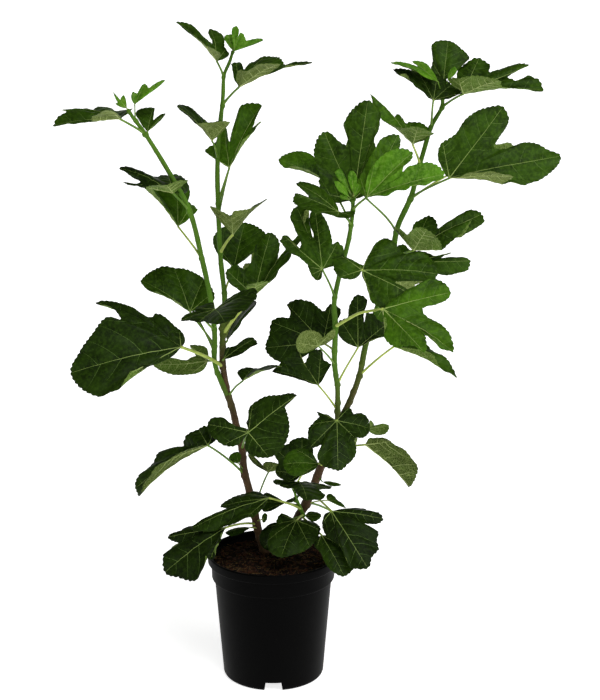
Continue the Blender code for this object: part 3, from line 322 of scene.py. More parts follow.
leaf("O5", "O5", "right_bough_outer", (360, 376.5), (394, 346.5, 14),
     ((424, 350, -8, 3), (441, 366, -6, 3), (457.2, 375.7, 0, 2), (447, 359, 8, 4), (431, 348.3, 14, 5), (412, 334, 24, 8), (398, 332, 24, 8)))
leaf("P1", "P1", "right_bough_outer", (392, 260), (413.5, 250.4, 26),
     ((402, 240, -10, 3), (392.6, 227.3, -14, 4), (399, 229, -14, 0), (407.5, 234.3, -14, 0), (418, 227.6, -30, 5), (427, 229, -32, 6), (441.5, 249.3, -14, 4), (452, 240, -10, 0), (470.3, 218.5, -6, 2),
      (460, 236, 2, 0), (483.5, 221, 8, 4), (481, 213, 12, 4), (470, 209.8, 16, 3), (455, 216.5, 16, 0), (437.3, 230.7, 14, 0), (434, 219, 30, 3), (428, 215, 34, 4), (420, 219, 32, 4), (413.5, 226.5, 28, 5)))
leaf("P3", "P3", "right_bough_outer", (391, 266), (412, 264, 44),
     ((436, 273.2, -4, 3), (454, 273.4, 0, 4), (468.5, 268.5, 4, 4), (470.2, 260.5, 6, 4), (459, 256.6, 8, 4), (437.5, 263.5, 6, 0), (433, 262, 8, 0), (451.3, 251.3, 14, 1.5), (438, 255.5, 12, 0), (428, 253.5, 14, 4),
      (410, 250, 16, 5), (403, 245, 22, 8), (396, 246, 18, 8)))
leaf("Q1", "Q", "right_bough_outer", (442.5, 97), (443.5, 82, 88),
     ((457, 70, 4, 4), (468.6, 58.3, 10, 3), (459, 47, 16, 4), (448, 40.3, 20, 5), (438, 41, 20, 5), (431.7, 45.5, 18, 4), (432.8, 60, 12, 3), (432, 72, 6, 8)))
leaf("Q2", "Q", "right_bough_outer", (431, 128), (433.4, 100.6, 62),
     ((450, 97.3, -4, 3), (461.5, 92.8, 0, 6), (451, 84, 12, 6), (432, 73, 26, 8), (409, 69.3, 14, 3), (395, 68.6, 4, 3), (400, 74.3, -4, 2), (407, 74, -2, 0), (420, 90, -8, 3)))
leaf("Q3", "Q", "right_bough_outer", (440.5, 99), (438, 81.5, 66),
     ((428, 64, 26, 6), (413.5, 60.4, 22, 4), (420, 67, 10, 0), (405, 62, 4, 2), (392.3, 61.2, 0, 2), (414, 69, -12, 4), (430, 79, -8, 5)), kind="young")
leaf("Q4", "Q", "right_bough_outer", (443, 107.5), (463.3, 94, 72),
     ((449, 81.5, -4, 8), (462, 77, -18, 8), (480, 76.5, -30, 6), (499, 78.5, -34, 3), (500, 85, -20, 0), (525, 87.6, -10, 1.5), (542.4, 87.6, -2, 1.5), (537, 78.5, 4, 2), (530, 77.2, 6, 2.5), (516.5, 83.7, 0, 0),
      (512.5, 79.5, 6, 2), (506.7, 77.5, 12, 0), (529, 65.3, 18, 1.5), (511, 64, 26, 3), (498, 69, 22, 0), (488.6, 73.3, 18, 0), (488.7, 63, 30, 3), (479, 57.6, 34, 5), (466, 63.5, 30, 5), (457, 74, 20, 6)))
leaf("Q5", "Q", "right_bough_outer", (442.5, 97), (447.5, 81, 76),
     ((456.5, 72, 2, 7), (454.5, 67, 4, 7), (449, 72, 4, 8)), kind="young")
leaf("S1", "S1", "right_bough_outer", (418, 164), (412.8, 144.4, 50),
     ((431, 131.5, 22, 5), (410.3, 120.7, 28, 4), (406.5, 124, 22, 0), (400.3, 113.4, 28, 5), (394, 118.6, 16, 0), (383, 110, 10, 1), (372.6, 92.6, 6, 1.2), (381, 117, -4, 3),
      (399, 127, -18, 6), (418, 127, -28, 8), (433.5, 133.8, -22, 3)))
leaf("S2", "S2", "right_bough_outer", (412.5, 198.6), (449.3, 178.2, 30),
     ((472, 172.3, -14, 2), (492, 171.5, -18, 6), (512, 175, -14, 2), (500, 182, 2, 3), (532, 182, 8, 2), (545, 176, 12, 3), (560.6, 155.7, 22, 3), (548, 149.5, 22, 3), (521, 143, 20, 4),
      (505, 149.3, 16, 0), (492.6, 146.6, 14, 0), (502, 134, 18, 3), (508.7, 118, 24, 4), (503, 107.2, 26, 4), (489, 107.5, 24, 4), (466, 119.5, 18, 4), (456, 134.5, 12, 0),
      (440, 147, 6, 4), (438.5, 156, 4, 5), (443, 170.5, 0, 7)))


# the crown's back
back_leaf("R1", "left_bough_outer", (212, 352), (184, 298, 64), (196, 288, 12), (178, 276, 20), (160, 280, 10), (170, 291, -14))
back_leaf("R2", "left_bough_inner", (227, 343), (256, 284, 84), (268, 266, 20), (256, 254, 34), (244, 272, 16))
back_leaf("R3", "left_bough_inner", (219, 216), (234, 152, 92), (241, 143, 16), (244, 132, 24), (239, 121, 30), grown=1.0)
back_leaf("R4", "left_stem", (254, 516), (203, 535, 56), (192, 532, 22), (180, 546, 26), (188, 562, 6), (200, 556, -8))
back_leaf("R5", "left_stem", (242, 458), (264, 424, 74), (273, 442, 6), (281, 424, 26), (272, 406, 30), (258, 410, 12))
back_leaf("R6", "right_stem", (308, 503), (346, 520, 82), (344, 538, 0), (358, 550, 22), (369, 532, 34), (358, 514, 22))
back_leaf("R7", "right_stem", (334, 434), (338, 436, 66), (324, 440, 14), (330, 459, 22), (347, 455, 28), (355, 438, 20))
back_leaf("R8", "right_bough_inner", (352, 212), (350, 168, 66), (370, 164, 10), (366, 142, 30), (354, 136, 38), (332, 154, 26), grown=1.0)
back_leaf("R9", "right_bough_outer", (388, 272), (398, 274, 120), (390, 292, 10), (406, 298, 26), (421, 272, 36), (402, 258, 26))
back_leaf("R10", "right_bough_outer", (411.6, 201), (468, 164, 128), (500, 168, 6), (512, 150, 30), (490, 132, 40), (464, 140, 22), grown=1.04)

# ---- curves and outlines --------------------------------------------------------
def through(points, spans):
    """A smooth curve through every row of points."""
    p = np.asarray(points, float)
    p = np.vstack((2 * p[0] - p[1], p, 2 * p[-1] - p[-2]))
    out = []
    for a, b, c, d in zip(p, p[1:], p[2:], p[3:]):
        for k in range(spans):
            t = k / spans
            out.append(0.5 * (2 * b + (c - a) * t + (2 * a - 5 * b + 4 * c - d) * t ** 2 + (3 * b - a - 3 * c + d) * t ** 3))
    out.append(p[-2])
    return np.array(out)


def held(x, y, q):
    """A curve through (x, y) that never swings past its points, at q."""
    x, y, q = (np.asarray(v, float) for v in (x, y, q))
    h = np.diff(x)
    d = np.diff(y) / h
    m = np.zeros(len(x))
    for i in range(1, len(x) - 1):
        if d[i - 1] * d[i] > 0:
            w1, w2 = 2 * h[i] + h[i - 1], h[i] + 2 * h[i - 1]
            m[i] = (w1 + w2) / (w1 / d[i - 1] + w2 / d[i])
    m[0], m[-1] = d[0], d[-1]
    i = np.clip(np.searchsorted(x, q, side="right") - 1, 0, len(x) - 2)
    t = (q - x[i]) / h[i]
    return ((2 * t ** 3 - 3 * t * t + 1) * y[i] + (t ** 3 - 2 * t * t + t) * h[i] * m[i]
            + (-2 * t ** 3 + 3 * t * t) * y[i + 1] + (t ** 3 - t * t) * h[i] * m[i + 1])


def unit(v):
    return v / np.maximum(np.linalg.norm(v, axis=-1, keepdims=True), 1e-12)


def waves(count, low, high):
    """Seeded sines: a function of a running length or angle, about -1 to 1."""
    f = rng.uniform(low, high, count)
    p = rng.uniform(0, 2 * math.pi, count)
    a = rng.uniform(0.5, 1.0, count)
    return lambda x: sum(ak * np.sin(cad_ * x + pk) for ak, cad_, pk in zip(a, f, p)) / a.sum() * 1.4


class Heap:
    """Triangles gathered for one joined piece."""

    def __init__(self):
        self.verts, self.faces, self.slots, self.smooth, self.count = [], [], [], [], 0

    def add(self, verts, faces, slot, smooth=True):
        verts, faces = np.asarray(verts, float).reshape(-1, 3), np.asarray(faces, int)
        if faces.ndim == 2 and faces.shape[1] == 4:
            faces = np.vstack((faces[:, (0, 1, 2)], faces[:, (0, 2, 3)]))
        self.verts.append(verts)
        self.faces.append(faces + self.count)
        self.slots.append(np.full(len(faces), slot))
        self.smooth.append(np.full(len(faces), smooth))
        self.count += len(verts)

    def build(self, name, materials):
        verts, faces = np.vstack(self.verts), np.vstack(self.faces)
        slots, smooth = np.concatenate(self.slots), np.concatenate(self.smooth)
        used, faces = np.unique(faces, return_inverse=True)
        faces = faces.reshape(-1, 3)
        verts = verts[used]
        mesh = bpy.data.meshes.new(name)
        mesh.vertices.add(len(verts))
        mesh.vertices.foreach_set("co", verts.astype(np.float32).ravel())
        mesh.loops.add(3 * len(faces))
        mesh.loops.foreach_set("vertex_index", faces.astype(np.int32).ravel())
        mesh.polygons.add(len(faces))
        mesh.polygons.foreach_set("loop_start", np.arange(0, 3 * len(faces), 3, dtype=np.int32))
        for m in materials:
            mesh.materials.append(m)
        mesh.update(calc_edges=True)
        mesh.polygons.foreach_set("material_index", slots.astype(np.int32))
        mesh.polygons.foreach_set("use_smooth", smooth)
        mesh.validate()
        mesh.update()
        ob = bpy.data.objects.new(name, mesh)
        bpy.context.scene.collection.objects.link(ob)
        PIECES.append((ob, len(faces)))
        return ob


PIECES = []


def lattice(rows, cols, closed=False, flip=False):
    """Quads between rows of points."""
    i, j = np.meshgrid(np.arange(rows - 1), np.arange(cols if closed else cols - 1), indexing="ij")
    i, j = i.ravel(), j.ravel()
    k = (j + 1) % cols
    quads = np.stack((i * cols + j, i * cols + k, (i + 1) * cols + k, (i + 1) * cols + j), -1)
    return quads[:, ::-1] if flip else quads


def frames(line):
    """Unit directions along, across and out of a line, carried along it without twist."""
    along = unit(np.gradient(line, axis=0))
    side = np.cross(along[0], (0.0, 1.0, 0.3))
    side = unit(side if np.linalg.norm(side) > 1e-3 else np.cross(along[0], (1.0, 0.0, 0.0)))
    sides = []
    for t in along:
        side = unit(side - t * (side @ t))
        sides.append(side)
    sides = np.array(sides)
    return along, sides, np.cross(along, sides)


def tube(heap, line, radii, slot, sides=8, close=(True, True)):
    """A round tube with pointed or flat ends."""
    along, a, b = frames(line)
    turn = np.arange(sides) * 2 * math.pi / sides
    ring = a[:, None, :] * np.cos(turn)[None, :, None] + b[:, None, :] * np.sin(turn)[None, :, None]
    verts = (line[:, None, :] + ring * np.asarray(radii)[:, None, None]).reshape(-1, 3)
    faces = [lattice(len(line), sides, closed=True)]
    tris = []
    n = len(verts)
    ends = []
    if close[0]:
        ends.append(line[0] - along[0] * radii[0] * 0.3)
        tris.append([(n, (k + 1) % sides, k) for k in range(sides)])
    if close[1]:
        ends.append(line[-1] + along[-1] * radii[-1] * 0.5)
        last = (len(line) - 1) * sides
        tris.append([(n + len(ends) - 1, last + k, last + (k + 1) % sides) for k in range(sides)])
    quads = faces[0]
    faces = np.vstack((quads[:, (0, 1, 2)], quads[:, (0, 2, 3)], *[np.array(t) for t in tris]))
    heap.add(np.vstack((verts, *[e[None] for e in ends])), faces, slot)


# ---- limbs -------------------------------------------------------------------------
# swellings of the wood: (x, y, the way it faces, height, half length)
KNOBS = {"left_bough_inner": ((224, 323, (1.0, 0.0, 0.0), 0.0052, 0.0105), (222, 329, (-1.0, 0.0, 0.0), 0.0026, 0.0030))}


class Limb:
    """One tapering stem or bough, round its frame's line."""

    def __init__(self, name, bends):
        self.name = name
        spots = np.array([seen(x, y, d) for x, y, d, _ in bends])
        if name in FLARE:
            spots[0, 2] = GROUND - 0.006
        fine = through(np.column_stack((spots, [0.001 * r for *_, r in bends])), 24)
        along = np.concatenate(([0.0], np.cumsum(np.linalg.norm(np.diff(fine[:, :3], axis=0), axis=1))))
        self.length = along[-1]
        count = max(8, int(self.length / 0.0016))
        self.s = np.linspace(0.0, self.length, count)
        self.line = np.column_stack([np.interp(self.s, along, fine[:, k]) for k in range(3)])
        self.radius = np.interp(self.s, along, fine[:, 3]) + 0.001 * FLARE.get(name, 0.0) * np.exp(-self.s / 0.018)
        self.pixels = shows(self.line)
        self.nodes = []

    def foot(self, x, y):
        """The limb's nearest place to a reading: its number along the line."""
        k = int(np.argmin(((self.pixels - (x, y)) ** 2).sum(1)))
        return k

    def mesh(self, heap, slot, sides=26):
        along, a, b = frames(self.line)
        turn = np.arange(sides) * 2 * math.pi / sides
        s, th = self.s[:, None], turn[None, :]
        r = np.repeat(self.radius[:, None], sides, 1)
        # fine ridges that run with the bark and wander round it
        drift = waves(4, 8.0, 40.0)(s)
        ridge = sum(rng.uniform(0.4, 1.0) * np.sin(m * (th + 0.35 * drift) + rng.uniform(0, 6) + 3.0 * waves(3, 20, 90)(s))
                    for m in (3, 5, 7, 11)) / 3.0
        crack = np.sin(waves(3, 200, 700)(s) * 2.0 + 3 * np.sin(2 * th + s * 60))
        low = np.clip((0.52 - self.line[:, 2:3]) / 0.20, 0.0, 1.0)  # rougher near the ground
        r = r * (1.0 + (0.010 + 0.022 * low) * ridge + 0.008 * low * crack)
        r = r + 0.00025 * waves(5, 30, 160)(s)
        # a raised ring and a leaf scar at every node
        for k, angle, size in self.nodes:
            gap = (s - self.s[k]) / (0.0016 + 0.0006 * size)
            away = np.abs((th - angle + math.pi) % (2 * math.pi) - math.pi)
            r = r + 0.00048 * size * np.exp(-gap ** 2)
            r = r + 0.0016 * size * np.exp(-((s - self.s[k]) / 0.0036) ** 2 - (away / 0.75) ** 2)
            r = r - 0.0007 * size * np.exp(-((s - self.s[k] - 0.0003) / 0.0014) ** 2 - (away / 0.42) ** 2)
        for x, y, way, size, run in KNOBS.get(self.name, ()):
            k = self.foot(x, y)
            away = np.abs((th - self.side_of(k, np.array(way)) + math.pi) % (2 * math.pi) - math.pi)
            r = r + size * np.exp(-((s - self.s[k]) / run) ** 2 - (away / 0.95) ** 2)
        ring = a[:, None, :] * np.cos(turn)[None, :, None] + b[:, None, :] * np.sin(turn)[None, :, None]
        verts = (self.line[:, None, :] + ring * r[:, :, None]).reshape(-1, 3)
        n = len(verts)
        quads = lattice(len(self.line), sides, closed=True)
        last = (len(self.line) - 1) * sides
        tip = self.line[-1] + along[-1] * self.radius[-1] * 0.8
        ends = np.array([(n, (k + 1) % sides, k) for k in range(sides)]
                        + [(n + 1, last + k, last + (k + 1) % sides) for k in range(sides)])
        heap.add(np.vstack((verts, self.line[:1], tip[None])), np.vstack((quads[:, (0, 1, 2)], quads[:, (0, 2, 3)], ends)), slot)

    def side_of(self, k, way):
        """The angle round the limb that faces a direction."""
        _, a, b = frames(self.line)
        return math.atan2(way @ b[k], way @ a[k])


limbs = {name: Limb(name, bends) for name, bends in STEMS.items()}
STOUT = {"F2": 1.45, "E3": 1.5, "O3": 1.3, "E1": 1.4, "O1": 1.15}  # the stoutest petioles


# ---- blades ------------------------------------------------------------------------
def rays_of(row):
    """The blade's junction, its rays' angles and unit directions, and how far out its margin lies on each."""
    limb = limbs[row["stem"]]
    k = limb.foot(*row["foot"])
    behind = limb.line[k, 1] * 1000.0
    x, y, d = row["base"]
    depth = behind + LEAF_DEPTH * (d - behind)
    junction = seen(x, y, depth)
    arms = np.array([seen(kx, ky, depth + LEAF_DEPTH * kd) - junction for kx, ky, kd, _ in row["knots"]])
    widths = [math.radians(w) for *_, w in row["knots"]]
    reach = np.linalg.norm(arms, axis=1)
    ways = arms / reach[:, None]
    angle = np.concatenate(([0.0], np.cumsum(np.arccos(np.clip((ways[1:] * ways[:-1]).sum(1), -1, 1)))))
    xs, rs = [], []
    for i, (a, r, w) in enumerate(zip(angle, reach, widths)):
        if w > 0 and i == 0:
            xs += [a - w, a - 0.45 * w]
            rs += [0.30 * r, 0.80 * r]
        xs.append(a)
        rs.append(r)
        if w > 0 and i + 1 == len(angle):
            xs += [a + 0.45 * w, a + w]
            rs += [0.80 * r, 0.30 * r]
    xs, rs = np.array(xs), np.array(rs)
    keep = np.concatenate(([True], np.diff(xs) > 1e-4))
    xs, rs = xs[keep], rs[keep]
    q = np.unique(np.concatenate((np.linspace(xs[0], xs[-1], 420), xs)))
    r = held(xs, rs, q)
    inside = np.clip(q, angle[0], angle[-1])
    d = np.stack([held(angle, ways[:, c], inside) for c in range(3)], -1)
    for i, j, sel in ((0, 1, q < angle[0]), (-1, -2, q > angle[-1])):
        turn = unit(ways[i] - ways[j] * (ways[i] @ ways[j]))
        e = np.abs(q[sel] - angle[i])[:, None]
        d[sel] = ways[i] * np.cos(e) + turn * np.sin(e)
    return k, junction, q, unit(d), r


def main_veins(q, r):
    """The angles of the veins that run from the junction out to the lobes."""
    far = r.max()
    window = math.radians(9)
    peaks = [i for i in range(len(q)) if r[i] >= r[np.abs(q - q[i]) <= window].max() - 1e-9 and r[i] > 0.34 * far
             and q[0] + 0.10 < q[i] < q[-1] - 0.10]
    chosen = []
    for i in sorted(peaks, key=lambda i: -r[i]):
        if all(abs(q[i] - q[j]) > math.radians(15) and
               (abs(q[i] - q[j]) > math.radians(27) or r[min(i, j):max(i, j) + 1].min() < 0.92 * min(r[i], r[j])) for j in chosen):
            chosen.append(i)
    angles = sorted(q[i] for i in chosen) or [0.5 * (q[0] + q[-1])]
    while len(angles) < 7:  # the wide gaps have a lesser vein each
        gaps = [(b - a, 0.5 * (a + b)) for a, b in zip(angles, angles[1:])]
        gaps += [(1.25 * (angles[0] - q[0]), angles[0] - 0.55 * (angles[0] - q[0])),
                 (1.25 * (q[-1] - angles[-1]), angles[-1] + 0.55 * (q[-1] - angles[-1]))]
        gap, where = max(gaps)
        if gap < math.radians(64):
            break
        angles = sorted(angles + [where])
    return angles


def vein_paths(q, r, scale):
    """Lines of the vein net in the blade's own plane, as arrays of (out from the junction, angle, width)."""
    angles = main_veins(q, r)
    margin = lambda a: np.interp(a, q, r)
    paths = []
    for i, mid in enumerate(angles):
        length = margin(mid) - 0.0012
        out = np.linspace(0.0, length, max(4, int(length / 0.0022)))
        paths.append((0, np.column_stack((out, np.full(len(out), mid),
                                          scale * np.interp(out / length, (0, 0.12, 0.5, 1), (0.0027, 0.0018, 0.0012, 0.0006))))))
        low = q[0] if i == 0 else 0.5 * (mid + angles[i - 1])
        high = q[-1] if i + 1 == len(angles) else 0.5 * (mid + angles[i + 1])
        gap = max(0.0115, 0.180 * length)
        for side in (-1, 1):
            start = gap * rng.uniform(0.75, 1.15) * (1.0 if side < 0 else 1.35)
            while start < 0.93 * length:
                heading = side * math.radians(rng.uniform(56, 70))
                spot = np.array((start, 0.0))
                line = [spot.copy()]
                step = 0.0020
                for _ in range(110):
                    spot = spot + step * np.array((math.cos(heading), math.sin(heading)))
                    heading = heading * 0.980
                    out_ = math.hypot(*spot)
                    a = mid + math.atan2(spot[1], spot[0])
                    if not low + 0.0008 / out_ < a < high - 0.0008 / out_ or out_ > margin(a) - 0.0010:
                        break
                    line.append(spot.copy())
                if len(line) > 2:
                    line = np.array(line)
                    reach = np.hypot(line[:, 0], line[:, 1])
                    turn = mid + np.arctan2(line[:, 1], line[:, 0])
                    share = np.linspace(0, 1, len(line))
                    paths.append((1, np.column_stack((reach, turn, scale * (0.00105 - 0.00075 * share)))))
                start += gap * rng.uniform(0.85, 1.18)
    return paths


def nearest(points, line):
    """Distance in a plane from points to a line."""
    a, b = line[:-1], line[1:]
    ab = b - a
    t = np.clip(((points[:, None, :] - a[None]) * ab[None]).sum(-1) / np.maximum((ab ** 2).sum(-1), 1e-12)[None], 0, 1)
    return np.linalg.norm(points[:, None, :] - (a[None] + t[..., None] * ab[None]), axis=-1).min(1)


class Blade:
    def __init__(self, row, tone):
        self.row = row
        self.foot, self.junction, q, d, r = rays_of(row)
        far = r.max()
        scale = min(1.1, max(0.42, far / 0.105))
        young = row["kind"] == "young"
        # points along the margin, evenly spaced, in fours so that the inner rings can thin out
        edge = self.junction + d * r[:, None]
        run = np.concatenate(([0.0], np.cumsum(np.linalg.norm(np.diff(edge, axis=0), axis=1))))
        count = 4 * max(6, int(round(run[-1] / (MARGIN_STEP * (0.7 if young else 1.0)) / 4)))
        at = np.linspace(0, run[-1], count + 1)
        self.q = np.interp(at, run, q)
        self.d = unit(np.column_stack([np.interp(self.q, q, d[:, c]) for c in range(3)]))
        plain = np.interp(self.q, q, r)
        # a scalloped margin: rounded teeth, each pointing to the lobe's tip
        tooth = (at / (0.0080 * (0.75 + 0.25 * scale)) + 0.35 * waves(3, 20, 90)(at)) % 1.0
        teeth = np.sin(math.pi * tooth) ** 0.8
        ends = np.clip(np.minimum(at, run[-1] - at) / 0.012, 0, 1)
        bite = np.minimum(0.06, 0.0025 * scale / plain)
        self.r = plain * (1 + bite * (teeth - 0.35) * ends) + 0.0006 * scale
        rings = max(6, int(round(far / (RING_STEP * (0.7 if young else 1.0)))))
        self.s = np.linspace(0, 1, rings + 1) ** 0.92
        self.step = np.where(self.s < 0.30, 4, np.where(self.s < 0.60, 2, 1))
        self.veins = vein_paths(q, r, scale)
        # the sheet's normals, and its lie: arched lobes, a waved margin, and valleys along the veins
        out, ang = self.s[:, None] * self.r[None, :], np.repeat(self.q[None, :], rings + 1, 0)
        flat = np.stack((out * np.cos(ang), out * np.sin(ang)), -1).reshape(-1, 2)
        lift = np.zeros(out.shape)
        arch = (0.055 if not young else 0.03) * far
        lift += arch * 4 * (self.s * (1 - self.s))[:, None] * (self.r / far)[None, :] ** 1.5
        lift -= 0.030 * far * (self.s ** 3)[:, None] * (self.r / far)[None, :] ** 2  # the tips droop
        ripple = waves(4, 2 * math.pi / 0.075, 2 * math.pi / 0.030)(at)
        lift += 0.0021 * scale * ripple[None, :] * (self.s ** 2.5)[:, None]
        wide = np.full(len(flat), 1.0)
        narrow = np.full(len(flat), 1.0)
        for rank, line in self.veins:
            p = np.column_stack((line[:, 0] * np.cos(line[:, 1]), line[:, 0] * np.sin(line[:, 1])))
            # a cone's plane is cut where it turns past a full circle, so far sectors are left alone
            sector = np.abs(ang.ravel() - line[-1, 1]) < 1.2
            gap = nearest(flat[sector], p)
            if rank == 0:
                wide[sector] = np.minimum(wide[sector], gap)
            else:
                narrow[sector] = np.minimum(narrow[sector], gap)
        near = np.clip(out / (0.16 * far), 0, 1)
        lift -= near * 0.0016 * scale * np.exp(-(wide.reshape(out.shape) / (0.0070 * scale)) ** 2)
        lift -= near * 0.0009 * scale * np.exp(-(narrow.reshape(out.shape) / (0.0045 * scale)) ** 2)
        turn = unit(np.cross(self.d, np.gradient(self.d, self.q, axis=0)))
        smooth = turn.copy()
        for _ in range(6):
            smooth[1:-1] = unit(smooth[:-2] + smooth[1:-1] * 2 + smooth[2:])
        mean = unit(turn.sum(0))
        lie = unit(smooth[None] * np.clip(self.s, 0.0, 1)[:, None, None] + mean * (1.001 - np.clip(self.s * 1.5, 0, 1))[:, None, None])
        self.mid = self.junction + out[..., None] * self.d[None] + lie * lift[..., None]
        self.mid[0] = self.junction
        radial = np.gradient(self.mid, axis=0)
        round_ = np.gradient(self.mid, axis=1)
        normal = np.cross(radial, round_)
        normal[0] = mean
        weak = np.linalg.norm(normal, axis=-1) < 1e-12
        normal[weak] = mean
        self.normal = unit(normal)
        self.scale, self.tone, self.far, self.mean = scale, tone, far, mean

    def sheet(self, heap, top, under):
        rings, count = len(self.s), len(self.q)
        half = 0.5 * LEAF_THICK * (0.6 + 0.4 * self.scale)
        grid = np.arange(rings * count).reshape(rings, count)
        tris = [[(grid[0, 0], grid[1, i], grid[1, i + self.step[1]]) for i in range(0, count - 1, self.step[1])]]
        for j in range(1, rings - 1):
            a, b = self.step[j], self.step[j + 1]
            i = np.arange(0, count - 1, a)
            if a == b:
                tris.append(np.vstack((np.stack((grid[j, i], grid[j + 1, i], grid[j + 1, i + a]), -1),
                                       np.stack((grid[j, i], grid[j + 1, i + a], grid[j, i + a]), -1))))
            else:
                m = i + a // 2
                tris.append(np.vstack((np.stack((grid[j, i], grid[j + 1, i], grid[j + 1, m]), -1),
                                       np.stack((grid[j, i], grid[j + 1, m], grid[j, i + a]), -1),
                                       np.stack((grid[j, i + a], grid[j + 1, m], grid[j + 1, i + a]), -1))))
                if a == 4 and b == 1:
                    raise ValueError("rings thin out too fast")
        faces = np.vstack([np.asarray(t).reshape(-1, 3) for t in tris])
        upper = (self.mid + self.normal * half).reshape(-1, 3)
        lower = (self.mid - self.normal * half).reshape(-1, 3)
        start = heap.count
        heap.add(np.vstack((upper, lower)), faces, top)
        heap.faces.append(faces[:, ::-1] + rings * count + start)
        heap.slots.append(np.full(len(faces), under))
        heap.smooth.append(np.full(len(faces), True))
        edge = np.concatenate((grid[:, 0], grid[-1, 1:], grid[-2::-1, -1]))
        a, b = edge[:-1], edge[1:]
        n = rings * count
        rim = np.vstack((np.stack((a, a + n, b + n), -1), np.stack((a, b + n, b), -1)))
        heap.faces.append(rim + start)
        heap.slots.append(np.full(len(rim), top))
        heap.smooth.append(np.full(len(rim), False))

    def on(self, out, ang):
        """Points and normals of the meshed sheet, at places in its own plane."""
        reach = np.interp(ang, self.q, self.r)
        share = np.clip(out / reach, 0, 1)
        j = np.clip(np.searchsorted(self.s, share, side="right") - 1, 0, len(self.s) - 2)
        step = np.where(j == 0, self.step[1], self.step[j])
        i = np.clip(np.searchsorted(self.q, ang, side="right") - 1, 0, len(self.q) - 2)
        i0 = (i // step) * step
        i1 = np.minimum(i0 + step, len(self.q) - 1)
        m = (i0 + i1) // 2
        t = np.clip((ang - self.q[i0]) / np.maximum(self.q[i1] - self.q[i0], 1e-9), 0, 1)
        u = (share - self.s[j]) / (self.s[j + 1] - self.s[j])
        thins = (self.step[np.minimum(j + 1, len(self.s) - 1)] < step) & (j > 0)
        # weights of the five corners that a sheet's triangle can have there
        w = np.zeros((len(out), 5))  # (j, i0), (j, i1), (j+1, i0), (j+1, m), (j+1, i1)
        for k in range(len(out)):
            a, b = t[k], u[k]
            if j[k] == 0:
                w[k] = (1 - b, 0, b * (1 - a), 0, b * a)
            elif not thins[k]:
                w[k] = (1 - b, 0, b - a, 0, a) if b >= a else (1 - a, a - b, 0, 0, b)
            elif 2 * a <= b:
                w[k] = (1 - b, 0, b - 2 * a, 2 * a, 0)
            elif 2 * (1 - a) <= b:
                w[k] = (0, 1 - b, 0, 2 * (1 - a), b - 2 * (1 - a))
            else:
                w[k] = (1 - a - 0.5 * b, a - 0.5 * b, 0, b, 0)
        mix = lambda g: sum(w[:, c:c + 1] * g[jj, ii] for c, (jj, ii) in enumerate(((j, i0), (j, i1), (j + 1, i0), (j + 1, m), (j + 1, i1))))
        return mix(self.mid), unit(mix(self.normal))

    def net(self, heap, slot):
        half = 0.5 * LEAF_THICK * (0.6 + 0.4 * self.scale)
        for rank, line in self.veins:
            p, n = self.on(line[:, 0], line[:, 1])
            if len(p) < 3:
                continue
            along = unit(np.gradient(p, axis=0))
            side = unit(np.cross(n, along))
            w = line[:, 2:3] * 0.5
            w = w * np.where(np.arange(len(p)) == len(p) - 1, 0.3, 1.0)[:, None]
            up = half + (0.00034 if rank == 0 else 0.00022) * (w / w.max()) ** 0.5
            down = half + (0.00085 if rank == 0 else 0.00042) * self.scale * (w / w.max())
            verts = np.stack((p + side * w, p + n * up, p - side * w, p - n * down), 1).reshape(-1, 3)
            quads = lattice(len(p), 4, closed=True)
            last = 4 * (len(p) - 1)
            caps = np.array(((0, 2, 1), (0, 3, 2), (last, last + 1, last + 2), (last, last + 2, last + 3)))
            # the half above the blade is darker than the half beneath it
            above = quads[np.isin(quads[:, 0] % 4, (0, 1)) & np.isin(quads[:, 1] % 4, (0, 1, 2))]
            beneath = quads[~(np.isin(quads[:, 0] % 4, (0, 1)) & np.isin(quads[:, 1] % 4, (0, 1, 2)))]
            heap.add(verts, np.vstack((above[:, (0, 1, 2)], above[:, (0, 2, 3)], caps)), slot + rank)
            heap.faces.append(np.vstack((beneath[:, (0, 1, 2)], beneath[:, (0, 2, 3)])) + heap.count - len(verts))
            heap.slots.append(np.full(2 * len(beneath), slot + 2))
            heap.smooth.append(np.full(2 * len(beneath), True))

    def petiole(self, heap, slot):
        limb = limbs[self.row["stem"]]
        root = limb.line[self.foot]
        way = self.junction - root
        length = np.linalg.norm(way)
        rise = unit(np.gradient(limb.line, axis=0))[self.foot]
        way = way / length
        if self.row["mid"]:
            x, y, d = self.row["mid"]
            behind = root[1] * 1000.0
            via = seen(x, y, behind + LEAF_DEPTH * (d - behind))
            line = through(np.array((root, root * 0.45 + via * 0.55, via * 0.85 + 0.15 * (root + self.junction) / 2,
                                     via * 0.5 + self.junction * 0.5, self.junction)), 6)
        else:
            a = root + 0.34 * length * unit(way + 0.22 * rise)
            b = self.junction - 0.30 * length * unit(way - 0.10 * np.array((0, 0, 1.0)) + 0.05 * rng.normal(size=3))
            t = np.linspace(0, 1, max(8, int(length / 0.005)))[:, None]
            line = (1 - t) ** 3 * root + 3 * t * (1 - t) ** 2 * a + 3 * t * t * (1 - t) * b + t ** 3 * self.junction
        share = np.linspace(0, 1, len(line))
        thick = {"young": 0.0011, "small": 0.0012}.get(self.row["kind"], 0.00175) * (0.80 + 0.28 * self.scale)
        thick *= STOUT.get(self.row["name"], 1.0)
        radii = thick * (1.0 - 0.22 * share) + 0.0011 * self.scale * np.exp(-share * length / 0.005)
        radii = radii + 0.0003 * self.scale * np.exp(-(1 - share) * length / 0.004)
        tube(heap, line, radii, slot, sides=10)
        limb.nodes.append((self.foot, limb.side_of(self.foot, way), 0.7 + 0.6 * self.scale))


